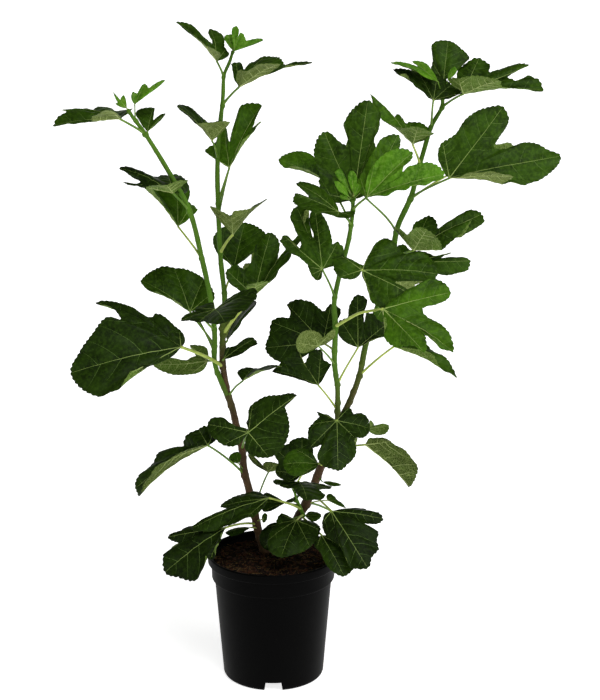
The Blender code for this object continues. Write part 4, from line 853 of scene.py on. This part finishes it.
# ---- finishes ------------------------------------------------------------------------
def rgb(code):
    """A screen colour as Blender's linear one."""
    v = [int(code[i:i + 2], 16) / 255 for i in (1, 3, 5)]
    return tuple(c / 12.92 if c <= 0.04045 else ((c + 0.055) / 1.055) ** 2.4 for c in v) + (1.0,)


class Finish:
    def __init__(self, name, roughness, specular=0.5):
        self.material = bpy.data.materials.new(name)
        self.material.use_nodes = True
        self.tree = self.material.node_tree
        self.shader = self.tree.nodes["Principled BSDF"]
        self.shader.inputs["Roughness"].default_value = roughness
        self.shader.inputs["Specular IOR Level"].default_value = specular
        self.place = self.node("ShaderNodeTexCoord").outputs["Object"]

    def node(self, kind, **values):
        n = self.tree.nodes.new(kind)
        for key, value in values.items():
            setattr(n, key, value)
        return n

    def link(self, a, b):
        self.tree.links.new(a, b)

    def noise(self, scale, detail=3.0, rough=0.5, stretch=None):
        n = self.node("ShaderNodeTexNoise")
        n.inputs["Scale"].default_value = scale
        n.inputs["Detail"].default_value = detail
        n.inputs["Roughness"].default_value = rough
        place = self.place
        if stretch:
            m = self.node("ShaderNodeMapping")
            m.inputs["Scale"].default_value = stretch
            self.link(place, m.inputs["Vector"])
            place = m.outputs["Vector"]
        self.link(place, n.inputs["Vector"])
        return n.outputs["Fac"]

    def cells(self, scale, edge=True):
        n = self.node("ShaderNodeTexVoronoi")
        n.feature = "DISTANCE_TO_EDGE" if edge else "F1"
        n.inputs["Scale"].default_value = scale
        self.link(self.place, n.inputs["Vector"])
        return n.outputs["Distance"]

    def ramp(self, value, *stops):
        n = self.node("ShaderNodeValToRGB")
        bar = n.color_ramp
        while len(bar.elements) < len(stops):
            bar.elements.new(0.5)
        for e, (spot, colour) in zip(bar.elements, stops):
            e.position = spot
            e.color = colour if isinstance(colour, tuple) else rgb(colour)
        self.link(value, n.inputs["Fac"])
        return n.outputs["Color"]

    def mix(self, share, a, b):
        n = self.node("ShaderNodeMix", data_type="RGBA")
        for value, socket in ((share, n.inputs["Factor"]), (a, n.inputs[6]), (b, n.inputs[7])):
            if isinstance(value, bpy.types.NodeSocket):
                self.link(value, socket)
            else:
                socket.default_value = value if not isinstance(value, str) else rgb(value)
        return n.outputs[2]

    def maths(self, operation, a, b=None, clamp=False):
        n = self.node("ShaderNodeMath", operation=operation, use_clamp=clamp)
        for value, socket in ((a, n.inputs[0]), (b, n.inputs[1])):
            if value is None:
                continue
            if isinstance(value, bpy.types.NodeSocket):
                self.link(value, socket)
            else:
                socket.default_value = value
        return n.outputs[0]

    def colour(self, value):
        if isinstance(value, bpy.types.NodeSocket):
            self.link(value, self.shader.inputs["Base Color"])
        else:
            self.shader.inputs["Base Color"].default_value = rgb(value)
        return self

    def gloss(self, value, low, high):
        n = self.node("ShaderNodeMapRange")
        n.inputs["To Min"].default_value, n.inputs["To Max"].default_value = low, high
        self.link(value, n.inputs["Value"])
        self.link(n.outputs["Result"], self.shader.inputs["Roughness"])
        return self

    def bump(self, height, strength, distance, after=None):
        n = self.node("ShaderNodeBump")
        n.inputs["Strength"].default_value = strength
        n.inputs["Distance"].default_value = distance
        self.link(height, n.inputs["Height"])
        if after is not None:
            self.link(after, n.inputs["Normal"])
        self.link(n.outputs["Normal"], self.shader.inputs["Normal"])
        return n.outputs["Normal"]


def leaf_finish(name, deep, light, fleck, roughness, under=False):
    f = Finish(name, roughness, 0.05)
    blotch = f.noise(38.0, 4.0, 0.55)
    tone = f.ramp(blotch, (0.34, deep), (0.70, light))
    flecks = f.ramp(f.noise(190.0, 4.0, 0.62), (0.44, (0, 0, 0, 1)), (0.72, (1, 1, 1, 1)))
    tone = f.mix(f.maths("MULTIPLY", flecks, 0.55), tone, fleck)
    net = f.cells(300.0)
    lines = f.ramp(net, (0.0, (1, 1, 1, 1)), (0.10, (0, 0, 0, 1)))
    share = f.maths("MULTIPLY", lines, 0.42 if under else 0.10)
    f.colour(f.mix(share, tone, "#9AA862" if under else "#3C561A"))
    f.gloss(f.noise(60.0, 3.0), roughness - 0.07, roughness + 0.09)
    raised = f.bump(net, 0.34 if under else 0.22, 0.0006)
    f.bump(f.noise(900.0, 2.0), 0.10, 0.0003, after=raised)
    return f.material


TOPS = {
    # painted shade: the dark tone darkens the low leaves that lie in the crown's shade (K1, H2, I6)
    "dark": leaf_finish("leaf_top_dark", "#0A1203", "#152404", "#26390B", 0.43),
    "deep": leaf_finish("leaf_top_deep", "#0F1A05", "#1F3108", "#324B10", 0.42),
    "mid": leaf_finish("leaf_top_mid", "#1A2C05", "#2E4A0A", "#456517", 0.41),
    "light": leaf_finish("leaf_top_light", "#253E07", "#3D620D", "#57801E", 0.41),
    "fresh": leaf_finish("leaf_top_fresh", "#345C0A", "#507F17", "#76A03A", 0.42),
    "young": leaf_finish("leaf_top_young", "#34600C", "#558519", "#7CA63C", 0.42),
}
UNDERS = {
    "grey": leaf_finish("leaf_under_grey", "#3F4E1D", "#596B2F", "#7A8850", 0.62, under=True),
    "green": leaf_finish("leaf_under_green", "#3A5116", "#506C25", "#6E8643", 0.60, under=True),
    # painted shade: a darker underside for leaves whose undersides lie in shade (J3, G2, G4)
    "dark": leaf_finish("leaf_under_dark", "#28350F", "#3A4C19", "#566A2C", 0.60, under=True),
}


def stalk_finish(name, deep, light):
    f = Finish(name, 0.46, 0.18)
    f.colour(f.ramp(f.noise(55.0, 3.0), (0.35, deep), (0.68, light)))
    f.bump(f.noise(700.0, 2.0, stretch=(1.0, 1.0, 0.25)), 0.16, 0.0004)
    return f.material


VEINS = [stalk_finish("leaf_main_vein", "#728840", "#90A458"), stalk_finish("leaf_side_vein", "#456021", "#607A36"),
         stalk_finish("leaf_under_vein", "#93A25C", "#AEBA78")]
STALKS = {"pale": stalk_finish("petiole_pale", "#8A9E40", "#AFBE60"), "green": stalk_finish("petiole_green", "#4A6C1E", "#6C8A34")}


def bark_finish(name, brown_to, green_from):
    f = Finish("bark_of_" + name, 0.62, 0.12)
    axes = f.node("ShaderNodeSeparateXYZ")
    f.link(f.place, axes.inputs[0])
    height = f.maths("ADD", axes.outputs["Z"], f.maths("MULTIPLY", f.maths("SUBTRACT", f.noise(26.0, 4.0), 0.5), 0.10))
    span = f.node("ShaderNodeMapRange")
    span.inputs["From Min"].default_value, span.inputs["From Max"].default_value = brown_to, green_from
    f.link(height, span.inputs["Value"])
    brown = f.mix(f.noise(140.0, 4.0, 0.6, stretch=(1, 1, 0.35)), "#2A1C12", "#5A442C")
    green = f.mix(f.noise(60.0, 3.0, 0.5, stretch=(1, 1, 0.3)), "#2E4E0C", "#557C1E")
    share = f.ramp(span.outputs["Result"], (0.0, (0, 0, 0, 1)), (1.0, (1, 1, 1, 1)))
    body = f.mix(share, brown, green)
    spots = f.ramp(f.cells(420.0, edge=False), (0.10, (1, 1, 1, 1)), (0.20, (0, 0, 0, 1)))
    body = f.mix(f.maths("MULTIPLY", spots, 0.45), body, "#9A8F6A")
    f.colour(body)
    first = f.bump(f.noise(260.0, 5.0, 0.6, stretch=(1, 1, 0.22)), 0.45, 0.0008)
    f.bump(spots, 0.25, 0.0004, after=first)
    return f.material


GREENING = {"left_stem": (0.44, 0.58), "right_stem": (0.42, 0.54), "left_bough_inner": (0.50, 0.64), "left_bough_outer": (0.40, 0.49),
            "right_bough_inner": (0.40, 0.50), "right_bough_outer": (0.42, 0.58), "side_shoot": (0.16, 0.24)}
BARK = {name: bark_finish(name, *span) for name, span in GREENING.items()}


def pot_finish():
    f = Finish("pot_plastic", 0.46, 0.025)
    dust = f.ramp(f.noise(9.0, 5.0, 0.6), (0.45, (0, 0, 0, 1)), (0.80, (1, 1, 1, 1)))
    f.colour(f.mix(f.maths("MULTIPLY", dust, 0.35), "#020202", "#060606"))
    f.gloss(f.noise(14.0, 4.0), 0.40, 0.54)
    first = f.bump(f.noise(900.0, 2.0), 0.08, 0.0003)
    f.bump(f.noise(18.0, 3.0, stretch=(1, 1, 0.25)), 0.10, 0.002, after=first)
    return f.material


def soil_finish(name, deep, mid, light):
    f = Finish(name, 0.92, 0.15)
    f.colour(f.ramp(f.noise(420.0, 5.0, 0.7), (0.32, deep), (0.52, mid), (0.74, light)))
    f.bump(f.noise(600.0, 5.0, 0.7), 0.7, 0.0016)
    return f.material


POT = pot_finish()
SOIL = soil_finish("potting_mix", "#080504", "#140C07", "#28190F")
CHIPS = [soil_finish("mix_dark_chips", "#0B0604", "#1A100A", "#2C1C12"), soil_finish("mix_bark_chips", "#20120A", "#371F11", "#4E2F1A"),
         soil_finish("mix_straw", "#3A2C1A", "#5A4529", "#76603C")]


# ---- the plant -----------------------------------------------------------------------
GROUPS = {"left_outer": ("left_bough_outer",), "left_inner": ("left_bough_inner",),
          "low": ("left_stem", "right_stem", "side_shoot"),
          "right_inner": ("right_bough_inner",), "right_outer": ("right_bough_outer",)}
# tones of single leaves: dark is painted shade on the shaded lowest leaves; the lighter tones are partly the leaves'
# own colour, partly painted light on top-lit leaves
TONES = {"M4": "fresh", "M1": "mid", "B1": "light", "J1": "deep", "S2": "mid", "Q1": "mid", "Q4": "mid", "C3": "mid",
         "O3": "light", "O1": "mid", "N1": "mid", "F1": "mid", "F2": "deep", "K1": "dark", "K2": "deep", "H2": "dark", "H1": "deep",
         "I1": "deep", "I6": "dark", "I4": "mid", "I5": "deep", "G1": "deep", "G2": "deep", "G3": "light", "E3": "mid", "O5": "mid", "P3": "mid"}
# undersides that take the painted-shade finish
PAINTED_SHADE_UNDER = ("J3", "G2", "G4")
top_names, under_names = list(TOPS), list(UNDERS)
skin = [TOPS[n] for n in top_names] + [UNDERS[n] for n in under_names]


def tone_of(name, row, height):
    if name in TONES:
        return TONES[name]
    if row["kind"] == "young":
        return "young"
    if row["kind"] == "small":
        return "mid"
    # higher leaves draw lighter tones: partly their own younger colour, partly painted light from above
    roll = rng.random() + 0.55 * (height - 0.55)
    return "deep" if roll < 0.52 else "mid" if roll < 0.90 else "light"


def spray_of(limb_name):
    return next(g for g, members in GROUPS.items() if limb_name in members)


sheets, nets, stalks = ({g: Heap() for g in GROUPS} for _ in range(3))
for name, row in L.items():
    blade = Blade(row, None)
    group = spray_of(row["stem"])
    tone = tone_of(name, row, blade.junction[2])
    under = len(top_names) + (1 if tone in ("fresh", "young") else int(rng.random() < 0.4))
    if name in PAINTED_SHADE_UNDER:
        under = len(top_names) + under_names.index("dark")
    blade.sheet(sheets[group], top_names.index(tone), under)
    blade.net(nets[group], 0)
    roll = rng.random()
    blade.petiole(stalks[group], 0 if name in STOUT or roll < 0.3 else 1)

nodes_of = lambda short: [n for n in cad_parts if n.startswith("foliage_" + short)]
for group, members in GROUPS.items():
    covered = sorted(n for m in members for n in nodes_of(m.replace("_bough", "") + "_"))
    for heap, kind, materials in ((sheets[group], "blades", skin), (nets[group], "veins", VEINS),
                                  (stalks[group], "petioles", [STALKS["pale"], STALKS["green"]])):
        ob = heap.build("leaf_%s_%s" % (kind, group), materials)
        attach(ob, "root")
        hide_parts(*covered)

for name, limb in limbs.items():
    # scars of fallen leaves between the living ones, closer together near the ground
    s = 0.012
    while s < limb.length - 0.02:
        k = int(np.searchsorted(limb.s, s))
        if all(abs(limb.s[k] - limb.s[j]) > 0.012 for j, *_ in limb.nodes):
            limb.nodes.append((k, rng.uniform(-math.pi, math.pi), rng.uniform(0.6, 1.1) if limb.line[k, 2] < 0.6 else 0.4))
        s += rng.uniform(0.016, 0.030) * (1.0 if limb.line[min(k, len(limb.line) - 1), 2] < 0.5 else 1.7)
    heap = Heap()
    limb.mesh(heap, 0)
    ob = heap.build("bark_" + name, [BARK[name]])
    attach(ob, "root")
    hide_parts(name)


# ---- pot and potting mix -----------------------------------------------------------------
def turned(profile, steps):
    turn = np.arange(steps) * 2 * math.pi / steps
    r, z = (np.array(v, float) for v in zip(*profile))
    verts = np.stack((r[:, None] * np.cos(turn), r[:, None] * np.sin(turn), np.repeat(z[:, None], steps, 1)), -1)
    return verts.reshape(-1, 3), lattice(len(profile), steps, closed=True)


def rounded(corners, radius=0.0007, parts=3):
    """A profile with its inner corners eased."""
    out = [corners[0]]
    for a, b, c in zip(corners, corners[1:], corners[2:]):
        a, b, c = (np.array(p, float) for p in (a, b, c))
        cut = min(radius, 0.4 * np.linalg.norm(b - a), 0.4 * np.linalg.norm(c - b))
        p, q = b + (a - b) / np.linalg.norm(a - b) * cut, b + (c - b) / np.linalg.norm(c - b) * cut
        for k in range(parts + 1):
            t = k / parts
            out.append(tuple((1 - t) ** 2 * p + 2 * t * (1 - t) * b + t * t * q))
    out.append(corners[-1])
    return out


WALL, FLOOR, LIP = 0.0020, 0.0030, 0.0045
shell = [(0.0004, 0.0), (FOOT_RADIUS, 0.0), (BASE_RADIUS - 0.0014, 0.0016), (BASE_RADIUS, 0.0045),
         (BODY_TOP_RADIUS, BAND_BOTTOM - 0.0026), (BODY_TOP_RADIUS + 0.0004, BAND_BOTTOM - 0.0004),
         (BAND_RADIUS - 0.0010, BAND_BOTTOM), (BAND_RADIUS - 0.0004, BAND_BOTTOM + 0.0016),
         (BAND_RADIUS, LIP_BOTTOM - 0.0010), (BAND_RADIUS + 0.0006, LIP_BOTTOM), (RIM_RADIUS - 0.0010, LIP_BOTTOM),
         (RIM_RADIUS, LIP_BOTTOM + 0.0012), (RIM_RADIUS, POT_HEIGHT - 0.0014), (RIM_RADIUS - 0.0016, POT_HEIGHT),
         (RIM_RADIUS - 0.0032, POT_HEIGHT - 0.0002), (RIM_RADIUS - LIP, POT_HEIGHT - 0.0022),
         (RIM_RADIUS - LIP - 0.0004, LIP_BOTTOM + 0.004), (BAND_RADIUS - WALL, LIP_BOTTOM),
         (BAND_RADIUS - WALL, BAND_BOTTOM), (BODY_TOP_RADIUS - WALL, BAND_BOTTOM - 0.003),
         (BASE_RADIUS - WALL, 0.0058), (BASE_RADIUS - WALL - 0.0022, FLOOR), (0.0004, FLOOR)]
heap = Heap()
verts, quads = turned(rounded(shell), 144)
n = len(verts)
last = n - 144
caps = np.array([(n, (k + 1) % 144, k) for k in range(144)] + [(n + 1, last + k, last + (k + 1) % 144) for k in range(144)])
faces = np.vstack((quads[:, (0, 1, 2)], quads[:, (0, 2, 3)], caps))
heap.add(np.vstack((verts, ((0, 0, 0), (0, 0, FLOOR)))), faces, 0)
pot = heap.build("pot_shell", [POT])
for k in range(NOTCHES):
    heap = Heap()
    c = [((1 if i & 1 else -1) * 0.5, (1 if i & 2 else -1) * 0.5, (1 if i & 4 else -1) * 0.5) for i in range(8)]
    turn = Matrix.Rotation(2.0 * math.pi * k / NOTCHES, 3, "Z")
    block = []
    for x, y, z in c:
        wide = NOTCH_TOP if z > 0 else NOTCH_BOTTOM
        reach = 0.055 if y > 0 else -0.005  # open beneath, so that the floor shows through
        block.append(tuple(turn @ Vector((x * wide + 0.001, reach - BASE_RADIUS, (z + 0.5) * (NOTCH_HEIGHT + 0.002) - 0.002))))
    heap.add(block, np.array(((0, 2, 3, 1), (4, 5, 7, 6), (0, 1, 5, 4), (2, 6, 7, 3), (0, 4, 6, 2), (1, 3, 7, 5))), 0, False)
    cutter = heap.build("notch", [])
    PIECES.pop()
    mod = pot.modifiers.new("notch", "BOOLEAN")
    mod.operation, mod.solver, mod.object = "DIFFERENCE", "EXACT", cutter
    bpy.context.view_layer.update()
    mesh = bpy.data.meshes.new_from_object(pot.evaluated_get(bpy.context.evaluated_depsgraph_get()))
    pot.modifiers.clear()
    pot.data = mesh
    bpy.data.objects.remove(cutter, do_unlink=True)
pot.data.materials.clear()
pot.data.materials.append(POT)
pot.data.set_sharp_from_angle(angle=math.radians(38))
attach(pot, "root")
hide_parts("pot")


def mix_height(r, th):
    """The potting mix's surface: lower at the pot's wall, and crumbly."""
    x, y = r * np.cos(th), r * np.sin(th)
    z = GROUND + 0.0004 - 0.0036 * np.clip((r - 0.055) / 0.042, 0, 1) ** 1.4
    z = z + 0.0011 * (np.sin(x * 160 + 1.2) * np.sin(y * 140 + 0.4) + 0.6 * np.sin(x * 330 + y * 210) + 0.5 * np.sin(y * 420 - x * 180 + 2))
    return z


heap = Heap()
steps, rows = 150, 44
top = [(0.0004 + (BAND_RADIUS - WALL - 0.0008) * k / rows) for k in range(rows + 1)]
turn = np.arange(steps) * 2 * math.pi / steps
grid = []
for r in top:
    rr = np.full(steps, r)
    z = mix_height(rr, turn) + rng.uniform(-0.0007, 0.0007, steps) * min(1.0, r / 0.01)
    grid.append(np.stack((rr * np.cos(turn), rr * np.sin(turn), z), -1))
low = [(BAND_RADIUS - WALL - 0.0006, BAND_BOTTOM + 0.001), (BODY_TOP_RADIUS - WALL - 0.0006, BAND_BOTTOM - 0.003),
       (BASE_RADIUS - WALL - 0.0006, 0.0200), (0.050, 0.0190), (0.0004, 0.0185)]
for r, z in low:
    grid.append(np.stack((r * np.cos(turn), r * np.sin(turn), np.full(steps, z)), -1))
grid = np.array(grid)
quads = lattice(len(grid), steps, closed=True, flip=True)
n, last = grid.shape[0] * steps, (grid.shape[0] - 1) * steps
caps = np.array([(n, k, (k + 1) % steps) for k in range(steps)] + [(n + 1, last + (k + 1) % steps, last + k) for k in range(steps)])
heap.add(np.vstack((grid.reshape(-1, 3), ((0, 0, GROUND + 0.0004), (0, 0, 0.0185)))), np.vstack((quads[:, (0, 1, 2)], quads[:, (0, 2, 3)], caps)), 0)
mix = heap.build("mix_body", [SOIL])
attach(mix, "root")
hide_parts("potting_mix")

heap = Heap()
lump = np.array([(1, 0, 0), (-1, 0, 0), (0, 1, 0), (0, -1, 0), (0, 0, 1), (0, 0, -1)], float)
lump_faces = np.array([(0, 2, 4), (2, 1, 4), (1, 3, 4), (3, 0, 4), (2, 0, 5), (1, 2, 5), (3, 1, 5), (0, 3, 5)])
box_faces = np.array(((0, 2, 3, 1), (4, 5, 7, 6), (0, 1, 5, 4), (2, 6, 7, 3), (0, 4, 6, 2), (1, 3, 7, 5)))
corner = np.array([((1 if i & 1 else -1), (1 if i & 2 else -1), (1 if i & 4 else -1)) for i in range(8)], float)
for k in range(3600):
    r, th = (BAND_RADIUS - WALL - 0.004) * math.sqrt(rng.random()), rng.uniform(0, 2 * math.pi)
    spin = Matrix.Rotation(rng.uniform(0, 6.3), 3, "Z") @ Matrix.Rotation(rng.normal(0, 0.5), 3, "X")
    roll = rng.random()
    if roll < 0.72:  # crumbs
        size = rng.uniform(0.0007, 0.0022)
        body, faces, slot = lump * (size, size * rng.uniform(0.5, 1), size * rng.uniform(0.4, 0.8)) * rng.uniform(0.75, 1.25, (6, 1)), lump_faces, 0
    elif roll < 0.93:  # flakes of bark
        size = rng.uniform(0.0016, 0.0042)
        body, faces, slot = corner * (size, size * rng.uniform(0.25, 0.6), size * 0.16) * rng.uniform(0.75, 1.2, (8, 1)), box_faces, 1
    else:  # straws
        size = rng.uniform(0.004, 0.010)
        body, faces, slot = corner * (size, 0.0004, 0.0003), box_faces, 2
    body = body @ np.array(spin).T
    z = float(mix_height(np.array(r), np.array(th)))
    heap.add(body + (r * math.cos(th), r * math.sin(th), z + 0.0006), faces, slot, False)
chips = heap.build("mix_chips", CHIPS)
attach(chips, "root")

# ---- floor, light and camera -----------------------------------------------------------
heap = Heap()
heap.add(((-30, -12, -0.0005), (30, -12, -0.0005), (30, 48, -0.0005), (-30, 48, -0.0005)), np.array(((0, 1, 2, 3),)), 0, False)
floor_finish = Finish("floor_white", 0.9, 0.0)
floor_finish.shader.inputs["Emission Color"].default_value = (1.0, 1.0, 1.0, 1.0)
floor_finish.shader.inputs["Emission Strength"].default_value = 0.80
floor_finish.colour(floor_finish.mix(floor_finish.noise(2.0), (0.90, 0.90, 0.90, 1), (0.93, 0.93, 0.93, 1)))
floor = heap.build("floor", [floor_finish.material])
PIECES.pop()

world = bpy.data.worlds.new("studio")
bpy.context.scene.world = world
world.use_nodes = True
# white round the horizon, as a studio's far walls, and dim overhead
sky, tree = world.node_tree.nodes["Background"], world.node_tree
place, axes, ramp = (tree.nodes.new("ShaderNode" + kind) for kind in ("TexCoord", "SeparateXYZ", "ValToRGB"))
tree.links.new(place.outputs["Generated"], axes.inputs[0])
tree.links.new(axes.outputs["Z"], ramp.inputs[0])
tree.links.new(ramp.outputs["Color"], sky.inputs["Color"])
ramp.color_ramp.elements[0].position, ramp.color_ramp.elements[0].color = 0.16, (1.0, 1.0, 1.0, 1.0)
ramp.color_ramp.elements[1].position, ramp.color_ramp.elements[1].color = 0.34, (0.06, 0.06, 0.06, 1.0)
sky.inputs["Strength"].default_value = 1.0


def lamp(name, kind, energy, place, towards, **more):
    data = bpy.data.lights.new(name, kind)
    data.energy = energy
    for key, value in more.items():
        setattr(data, key, value)
    ob = bpy.data.objects.new(name, data)
    ob.location = place
    ob.rotation_euler = (Vector(towards) - Vector(place)).to_track_quat("-Z", "Y").to_euler()
    bpy.context.scene.collection.objects.link(ob)
    return ob


lamp("key", "SUN", 1.9, (0.9, -1.7, 3.4), (0, 0, 0.5), angle=math.radians(42))
lamp("window", "AREA", 12.0, (1.9, -1.1, 1.0), (0, 0, 0.5), size=0.9, shape="SQUARE")

data = bpy.data.cameras.new("camera")
data.sensor_width = 36.0
data.sensor_fit = "AUTO"
data.lens = EYE_SCALE * 36.0 / 700.0
camera = bpy.data.objects.new("camera", data)
camera.location = EYE
camera.rotation_euler = (math.pi / 2 - EYE_DOWN, 0.0, 0.0)
bpy.context.scene.collection.objects.link(camera)
bpy.context.scene.camera = camera
bpy.context.scene.view_settings.view_transform = "Standard"

for ob, count in PIECES:
    print("PIECE %-26s %d" % (ob.name, count))
print("TRIANGLES", sum(c for _, c in PIECES))
